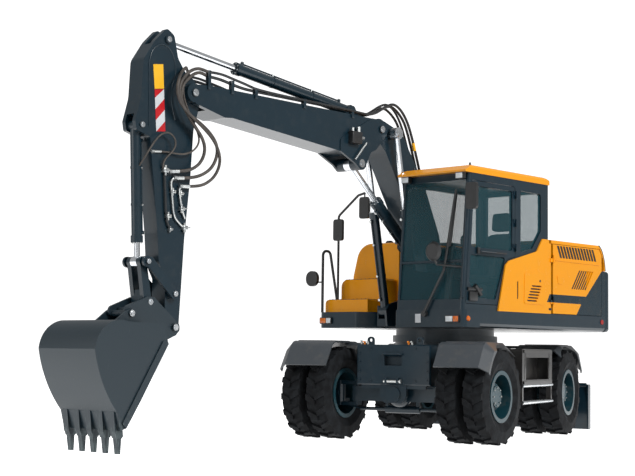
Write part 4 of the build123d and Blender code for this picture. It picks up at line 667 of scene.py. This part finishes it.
def add_plate(shape, outline, y_low, y_high, finish=0):
    """A flat plate with an outline of (x, z) points, from y_low to y_high."""
    face = shape.faces.new([shape.verts.new((x, y_low, z)) for x, z in outline])
    pushed = bmesh.ops.extrude_face_region(shape, geom=[face])["geom"]
    corners = [part for part in pushed if isinstance(part, bmesh.types.BMVert)]
    bmesh.ops.translate(shape, vec=(0, y_high - y_low, 0), verts=corners)
    for part in pushed + [face]:
        if isinstance(part, bmesh.types.BMFace):
            part.material_index = finish
    for corner in corners:
        for side in corner.link_faces:
            side.material_index = finish


arm_face_y = 0.04
plate_low_y, plate_high_y = arm_face_y - 0.001, arm_face_y + 0.003
plates = bmesh.new()
add_plate(plates, [(4.822, 3.822), (4.692, 3.843), (4.675, 3.598), (4.797, 3.579)],
          plate_low_y, plate_high_y)
fore_top, fore_foot = Vector((4.797, 3.573)), Vector((4.763, 3.154))
aft_top, aft_foot = Vector((4.675, 3.592)), Vector((4.644, 3.169))
slant = 0.24
for band, (start, stop) in enumerate(((-0.1, 0.2), (0.2, 0.47), (0.47, 0.73), (0.73, 1.0), (1.0, 1.24))):
    fore = [fore_top.lerp(fore_foot, min(max(share, 0), 1)) for share in (start, stop)]
    aft = [aft_top.lerp(aft_foot, min(max(share - slant, 0), 1)) for share in (start, stop)]
    outline = [tuple(point) for point in (fore[0], fore[1], aft[1], aft[0])]
    outline = [point for place, point in enumerate(outline) if point not in outline[:place]]
    if len(outline) > 2:
        add_plate(plates, outline, plate_low_y, plate_high_y, 2 - band % 2)
settle("arm_plates", plates, "arm", plate_yellow, sheet_white, sheet_red, turn=upper_turn)
weld_path = [(x, arm_face_y, z) for x, z in (
    (4.86, 3.2), (4.868, 3.63), (4.88, 3.86), (4.826, 3.985), (4.72, 4.055), (4.6, 4.02), (4.53, 3.9),
    (4.52, 3.77), (4.575, 3.63), (4.585, 3.5), (4.52, 3.3))]
add_hose("arm_weld_bead", weld_path, 0.009, teal_enamel, "arm")

# ------------------------------------------------------ pipes on the upper boom
# Two bent steel pipes, painted black, run along each top edge.  Welded posts hold them,
# and they rise to the hose ends above the arm's pivot.
pipe_paint = grained_finish("black_pipe_paint", "#101417", "#1a2024", 0.4, 1.5, 0.15)
inner_line = ((1.62, 3.73), (1.9, 3.742), (3.4, 3.742), (3.62, 3.745), (3.8, 3.77), (3.98, 3.8),
              (4.14, 3.8))
outer_line = ((1.62, 3.73), (1.9, 3.745), (3.4, 3.75), (3.6, 3.79), (3.8, 3.82), (3.98, 3.85),
              (4.14, 3.84))
for hand, name in ((1, "left"), (-1, "right")):
    inner_y = boom_middle_y + hand * 0.15
    outer_y = boom_middle_y + hand * 0.178
    for place, line, pipe_y, radius in (("inner", inner_line, inner_y, 0.016),
                                        ("outer", outer_line, outer_y, 0.014)):
        add_hose(f"boom_pipe_{place}_{name}", [(x, pipe_y, z) for x, z in line], radius, pipe_paint,
                 "upper_boom")
    posts = bmesh.new()
    low_y, high_y = sorted((inner_y - hand * 0.01, outer_y + hand * 0.01))
    for x, top in ((1.9, 3.76), (2.7, 3.765), (3.45, 3.77), (3.8, 3.8), (4.13, 3.86)):
        add_block(posts, (x - 0.02, low_y, 3.66), (x + 0.02, high_y, top), 0.004)
    settle(f"boom_pipe_posts_{name}", posts, "upper_boom", teal_enamel, turn=upper_turn)

# ----------------------------------------------- hoses from the boom to the arm
# Four rubber-covered pressure hoses arch over the arm's pivot, hang behind it and come
# back to plated ends on the arm.  A fifth loops from the bucket cylinder's port.  All are
# clipped at both ends on the machine; here the hoses ride on no body, and only the four plated ends ride on
# the arm.
hose_rubber = grained_finish("weathered_hose_rubber", "#3b3632", "#57504a", 0.6, 1.2, 0.4)
arm_hoses = (  # name, radius, points of its line
    ("arm_hose_upper", 0.017, [
        (4.12, 0.08, 3.8), (4.22, 0.1, 3.825), (4.33, 0.13, 3.8), (4.43, 0.145, 3.74), (4.51, 0.15, 3.66),
        (4.545, 0.15, 3.57), (4.53, 0.15, 3.47), (4.45, 0.15, 3.36), (4.35, 0.15, 3.25),
        (4.23, 0.145, 3.14), (4.185, 0.14, 3.02), (4.23, 0.125, 2.89), (4.34, 0.11, 2.81),
        (4.45, 0.09, 2.785), (4.56, 0.075, 2.772)]),
    ("arm_hose_middle", 0.017, [
        (4.12, 0.1, 3.84), (4.25, 0.12, 3.86), (4.38, 0.15, 3.83), (4.49, 0.165, 3.76),
        (4.565, 0.17, 3.67), (4.59, 0.17, 3.57), (4.56, 0.17, 3.46), (4.46, 0.17, 3.36),
        (4.32, 0.17, 3.3), (4.17, 0.165, 3.22), (4.06, 0.16, 3.12), (4.02, 0.15, 3.01),
        (4.07, 0.13, 2.86), (4.2, 0.11, 2.765), (4.36, 0.095, 2.722), (4.5, 0.08, 2.712)]),
    ("arm_hose_lower", 0.016, [
        (4.12, -0.2, 3.84), (4.25, -0.1, 3.88), (4.4, 0.06, 3.86), (4.53, 0.14, 3.78),
        (4.61, 0.185, 3.68), (4.63, 0.19, 3.56), (4.58, 0.19, 3.44), (4.44, 0.19, 3.34),
        (4.28, 0.19, 3.25), (4.12, 0.185, 3.14), (4.02, 0.17, 3.02), (3.99, 0.155, 2.9),
        (4.04, 0.135, 2.77), (4.15, 0.115, 2.68), (4.28, 0.1, 2.643), (4.42, 0.08, 2.635)]),
    ("arm_hose_thin", 0.01, [
        (4.12, -0.22, 3.8), (4.25, -0.1, 3.84), (4.38, 0.08, 3.8), (4.48, 0.12, 3.7), (4.5, 0.13, 3.55),
        (4.42, 0.135, 3.38), (4.3, 0.135, 3.22), (4.25, 0.125, 3.1), (4.32, 0.11, 3.0),
        (4.43, 0.09, 2.955), (4.55, 0.07, 2.955), (4.66, 0.06, 2.962), (4.78, 0.055, 2.952)]),
)
for name, radius, route in arm_hoses:
    hose = add_hose(name, route, radius, hose_rubber, None)
    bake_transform(hose)
    ferrules = bmesh.new()
    hose_end = Vector(route[-1])
    along = (hose_end - Vector(route[-2])).normalized()
    add_rod(ferrules, hose_end - along * 0.07, hose_end + along * 0.03, radius + 0.004, 16)
    add_rod(ferrules, hose_end + along * 0.02, hose_end + along * 0.05, radius + 0.008, 6)
    settle(name + "_end_fitting", ferrules, "arm", zinc_plate, turn=upper_turn)
port_loop = [(4.925, -0.01, 2.8), (4.925, 0.03, 2.84), (4.91, 0.07, 2.9), (4.87, 0.1, 2.99),
             (4.79, 0.11, 3.1), (4.68, 0.11, 3.16), (4.585, 0.11, 3.12), (4.55, 0.105, 3.04),
             (4.59, 0.09, 2.96), (4.66, 0.08, 2.9), (4.69, 0.07, 2.84), (4.68, 0.06, 2.79)]
port_hose = add_hose("ram_port_hose", port_loop, 0.009, hose_rubber, None)
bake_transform(port_hose)

# ------------------------------------------------------------- pipework on the arm
# Bent steel pipes on the arm's side, one painted and two zinc plated, held by plated
# clamps, with ball valves and elbows.  Yellow tape marks one hose.
pipe_y = 0.062
add_hose("arm_pipe_front", [(4.66, pipe_y, 2.77), (4.648, pipe_y, 2.6), (4.63, pipe_y, 2.36),
                            (4.61, pipe_y, 2.25), (4.56, pipe_y, 2.18)], 0.011, pipe_paint, "arm")
add_hose("arm_pipe_middle", [(4.53, 0.08, 2.71), (4.57, 0.075, 2.7), (4.575, 0.065, 2.65),
                             (4.55, pipe_y, 2.5), (4.527, pipe_y, 2.33), (4.47, pipe_y, 2.27),
                             (4.39, pipe_y, 2.22)], 0.011, zinc_plate, "arm")
add_hose("arm_pipe_rear", [(4.44, 0.08, 2.634), (4.47, 0.075, 2.62), (4.46, 0.065, 2.57),
                           (4.43, pipe_y, 2.45), (4.42, pipe_y, 2.4), (4.375, pipe_y, 2.31)],
         0.011, zinc_plate, "arm")
valves = bmesh.new()
valve_y = arm_face_y + 0.022
for x, z, size in ((4.65, 2.775, 0.032), (4.6, 2.32, 0.026), (4.545, 2.57, 0.024), (4.435, 2.56, 0.022),
                   (4.425, 2.41, 0.028), (4.38, 2.22, 0.03), (4.57, 2.19, 0.018)):
    add_block(valves, (x - size, arm_face_y - 0.002, z - size * 0.7),
              (x + size, arm_face_y + 0.048, z + size * 0.7), 0.006)
    add_rod(valves, (x, valve_y, z - size * 1.6), (x, valve_y, z + size * 1.6), size * 0.5, 12)
    add_rod(valves, (x, arm_face_y + 0.04, z), (x, arm_face_y + 0.062, z), size * 0.42, 6)
for x, z in ((4.425, 2.41), (4.38, 2.22), (4.65, 2.775)):
    add_block(valves, (x - 0.05, arm_face_y + 0.056, z - 0.006), (x + 0.012, arm_face_y + 0.06, z + 0.006),
              0.002)
settle("arm_valves_and_clamps", valves, "arm", zinc_plate, turn=upper_turn)
tape = bmesh.new()
add_rod(tape, (4.46, 0.086, 2.715), (4.5, 0.081, 2.712), 0.0165, 16)
settle("arm_hose_marker", tape, "arm", plate_yellow, turn=upper_turn)

# ------------------------------------------------------------------ cab front trim
# A painted grab tube follows the left front post, a blank white plate sits on the
# sill and a black cover closes the foot of the door.
trim = bmesh.new()
post = [(cab_front(z) + 0.006, 1.212, z) for z in (1.62, 2.05, 2.5, 2.94)]
for start, end in zip(post, post[1:]):
    add_rod(trim, start, end, 0.02, 14)
add_block(trim, (1.268, 0.55, 1.34), (1.274, 0.63, 1.44), 0.002, 1)
settle("cab_post_tube_and_blank_plate", trim, "upper_structure", teal_enamel, sheet_white,
       turn=upper_turn)
door_trim = bmesh.new()
add_rod(door_trim, (1.07, 1.243, 1.76), (0.96, 1.243, 1.655), 0.024, 12)
add_rod(door_trim, (0.46, 1.243, 2.15), (1.0, 1.243, 2.15), 0.008, 10)
settle("door_foot_cover_and_bar", door_trim, "cab_door", black_plastic, turn=upper_turn)

# ------------------------------------------------------------ hoses at the knuckle
# Four black rubber pressure hoses run down the lower boom's back under a plated clamp
# and arch over the knuckle to the pipes on the upper boom, to which they are screwed.
black_hose = grained_finish("black_hose_rubber", "#101113", "#1d1f22", 0.5, 1.2, 0.3)
knuckle_hoses = ((0.03, 3.95, 0.016, 1), (-0.02, 3.93, 0.016, -1), (-0.08, 3.96, 0.014, 1),
                 (-0.13, 3.92, 0.016, -1))  # y, height of the crown, radius, side it runs to
for number, (side_y, crown, radius, hand) in enumerate(knuckle_hoses):
    route = [(0.5, side_y, 3.0), (0.565, side_y, 3.203), (0.645, side_y, 3.411), (0.72, side_y, 3.6),
             (0.8, side_y, 3.76), (0.92, side_y, crown - 0.06), (1.06, side_y, crown),
             (1.2, side_y, crown - 0.05), (1.35, side_y + 0.02, crown - 0.13), (1.5, side_y + 0.04, 3.76),
             (1.68, boom_middle_y + hand * 0.15, 3.735)]
    arch = add_hose(f"knuckle_hose_{number}", route, radius, black_hose, None)
    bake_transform(arch)
clamp = bmesh.new()
add_block(clamp, (0.5, -0.17, 3.14), (0.62, 0.07, 3.17), 0.006)
add_rod(clamp, (0.66, 0.03, 3.43), (0.69, 0.03, 3.52), 0.02, 16, 1)
settle("knuckle_hose_clamp", clamp, "lower_boom", zinc_plate, plate_yellow, turn=upper_turn)

# A load-holding valve with bright pipes sits on the upper boom's left cheek.
valve = bmesh.new()
add_block(valve, (1.8, 0.112, 3.36), (1.97, 0.19, 3.5), 0.01)
add_rod(valve, (1.83, 0.15, 3.5), (1.83, 0.15, 3.56), 0.025, 6, 1)
add_rod(valve, (1.93, 0.15, 3.5), (1.93, 0.15, 3.54), 0.02, 6, 1)
add_rod(valve, (1.74, 0.15, 3.44), (1.8, 0.15, 3.44), 0.022, 6, 1)
for lift in (0.0, 0.05):
    add_rod(valve, (1.74 - lift, 0.15, 3.34 + lift), (1.872 - lift, 0.15, 3.19 + lift), 0.011, 12, 1)
settle("knuckle_valve", valve, "upper_boom", black_plastic, zinc_plate, turn=upper_turn)

# ------------------------------------------------------------- cylinder fittings
# Each cylinder has a ring of socket screws round its gland and a steel pipe along
# the barrel, from a port block at the gland to a banjo union at the foot.


def add_ring(shape, middle, along, width, inner, outer, sides=28):
    """A flat band round an axis through a point: an oblong section, spun all round."""
    outward = along.orthogonal().normalized()
    section = [shape.verts.new(middle + along * shift * width + outward * radius)
               for shift, radius in ((-0.5, inner), (-0.5, outer), (0.5, outer), (0.5, inner))]
    section += [shape.edges.new((section[corner - 1], section[corner])) for corner in range(4)]
    bmesh.ops.spin(shape, geom=section, cent=middle, axis=along, angle=math.tau, steps=sides,
                   use_merge=True)


ram_lines = (  # body, foot, rod eye, barrel length, barrel radius, sideways places, side of the pipe
    ("boom_ram_barrels", (0.79, 1.5), (1.19, 3.56), 1.19, 0.054, (-0.298, 0.178), 1),
    ("adjust_ram_barrel", (0.7, 2.275), (1.73, 3.155), 0.76, 0.068, (-0.06,), 1),
    ("arm_ram_barrel", (1.8, 3.775), (4.63, 4.105), 1.815, 0.06, (-0.06,), -1),
    ("bucket_ram_barrel", (4.95, 3.2), (4.885, 1.852), 1.16, 0.052, (-0.06,), 1),
)
sideways = Vector((0, 1, 0))
for body, foot, eye, barrel_length, barrel_radius, middles, pipe_side in ram_lines:
    ram_bits = bmesh.new()
    for y in middles:
        start = Vector((foot[0], y, foot[1]))
        along = (Vector((eye[0], y, eye[1])) - start).normalized()
        across = sideways.cross(along) * pipe_side
        mouth = start + along * barrel_length
        for step in range(8):
            angle = math.radians(22.5 + 45 * step)
            round_rim = sideways * math.cos(angle) + across * math.sin(angle)
            screw = mouth + round_rim * (barrel_radius - 0.004)
            add_rod(ram_bits, screw - along * 0.002, screw + along * 0.009, 0.0075, 10, 1)
        gland = mouth - along * 0.1
        heel = start + along * (barrel_radius + 0.09)
        skin = across * barrel_radius
        for port in (gland, heel):
            add_rod(ram_bits, port + skin - across * 0.008, port + skin + across * 0.03, 0.02, 12)
            add_rod(ram_bits, port + skin + across * 0.028, port + skin + across * 0.04, 0.017, 6, 1)
        pipe_out = skin + across * 0.016
        add_rod(ram_bits, gland + pipe_out, heel + pipe_out, 0.0095, 12)
        for share in (0.3, 0.7):
            band = gland.lerp(heel, share)
            add_ring(ram_bits, band, along, 0.024, barrel_radius - 0.001, barrel_radius + 0.004)
            add_rod(ram_bits, band + skin + across * 0.002, band + skin + across * 0.028, 0.014, 10, 1)
    settle(body + "_fittings", ram_bits, body, teal_enamel, zinc_plate, turn=upper_turn)

# --------------------------------------------------- side boxes, steps and fenders
# Two bright steel tubes, clamped on, edge each side box over its step; ribbed rubber
# tread strips are stuck on the tops of the front fenders.
side_bits = bmesh.new()
for hand in (1, -1):
    for z in (0.44, 0.635):
        add_rod(side_bits, (-0.555, hand * 1.186, z), (0.635, hand * 1.186, z), 0.022, 18)
    for x in (-0.44, 0.52):
        add_block(side_bits, (x - 0.02, hand * 1.18 - 0.012, 0.66), (x + 0.02, hand * 1.18 + 0.012, 1.03),
                  0.004, 1)
settle("side_box_tubes", side_bits, "undercarriage", turned_steel, locker_paint)
treads = bmesh.new()
for hand in (1, -1):
    for step in range(7):
        x = 1.29 + step * 0.03
        low_y, high_y = sorted((hand * 0.8, hand * 1.06))
        add_block(treads, (x, low_y, 1.118), (x + 0.014, high_y, 1.126), 0.002)
settle("fender_treads", treads, "undercarriage", black_plastic)

# --------------------------------------------------------- coupler grease nipples
# Four grease nipples with yellow plastic caps are screwed into the quick coupler.
coupler_bits = bmesh.new()
for x, z in ((4.74, 1.16), (4.98, 1.3)):
    for hand in (1, -1):
        y = boom_middle_y + hand * 0.1
        add_rod(coupler_bits, (x, y, z), (x + 0.012, y, z + 0.05), 0.012, 12)
settle("coupler_grease_nipples", coupler_bits, "bucket", plate_yellow, turn=upper_turn)
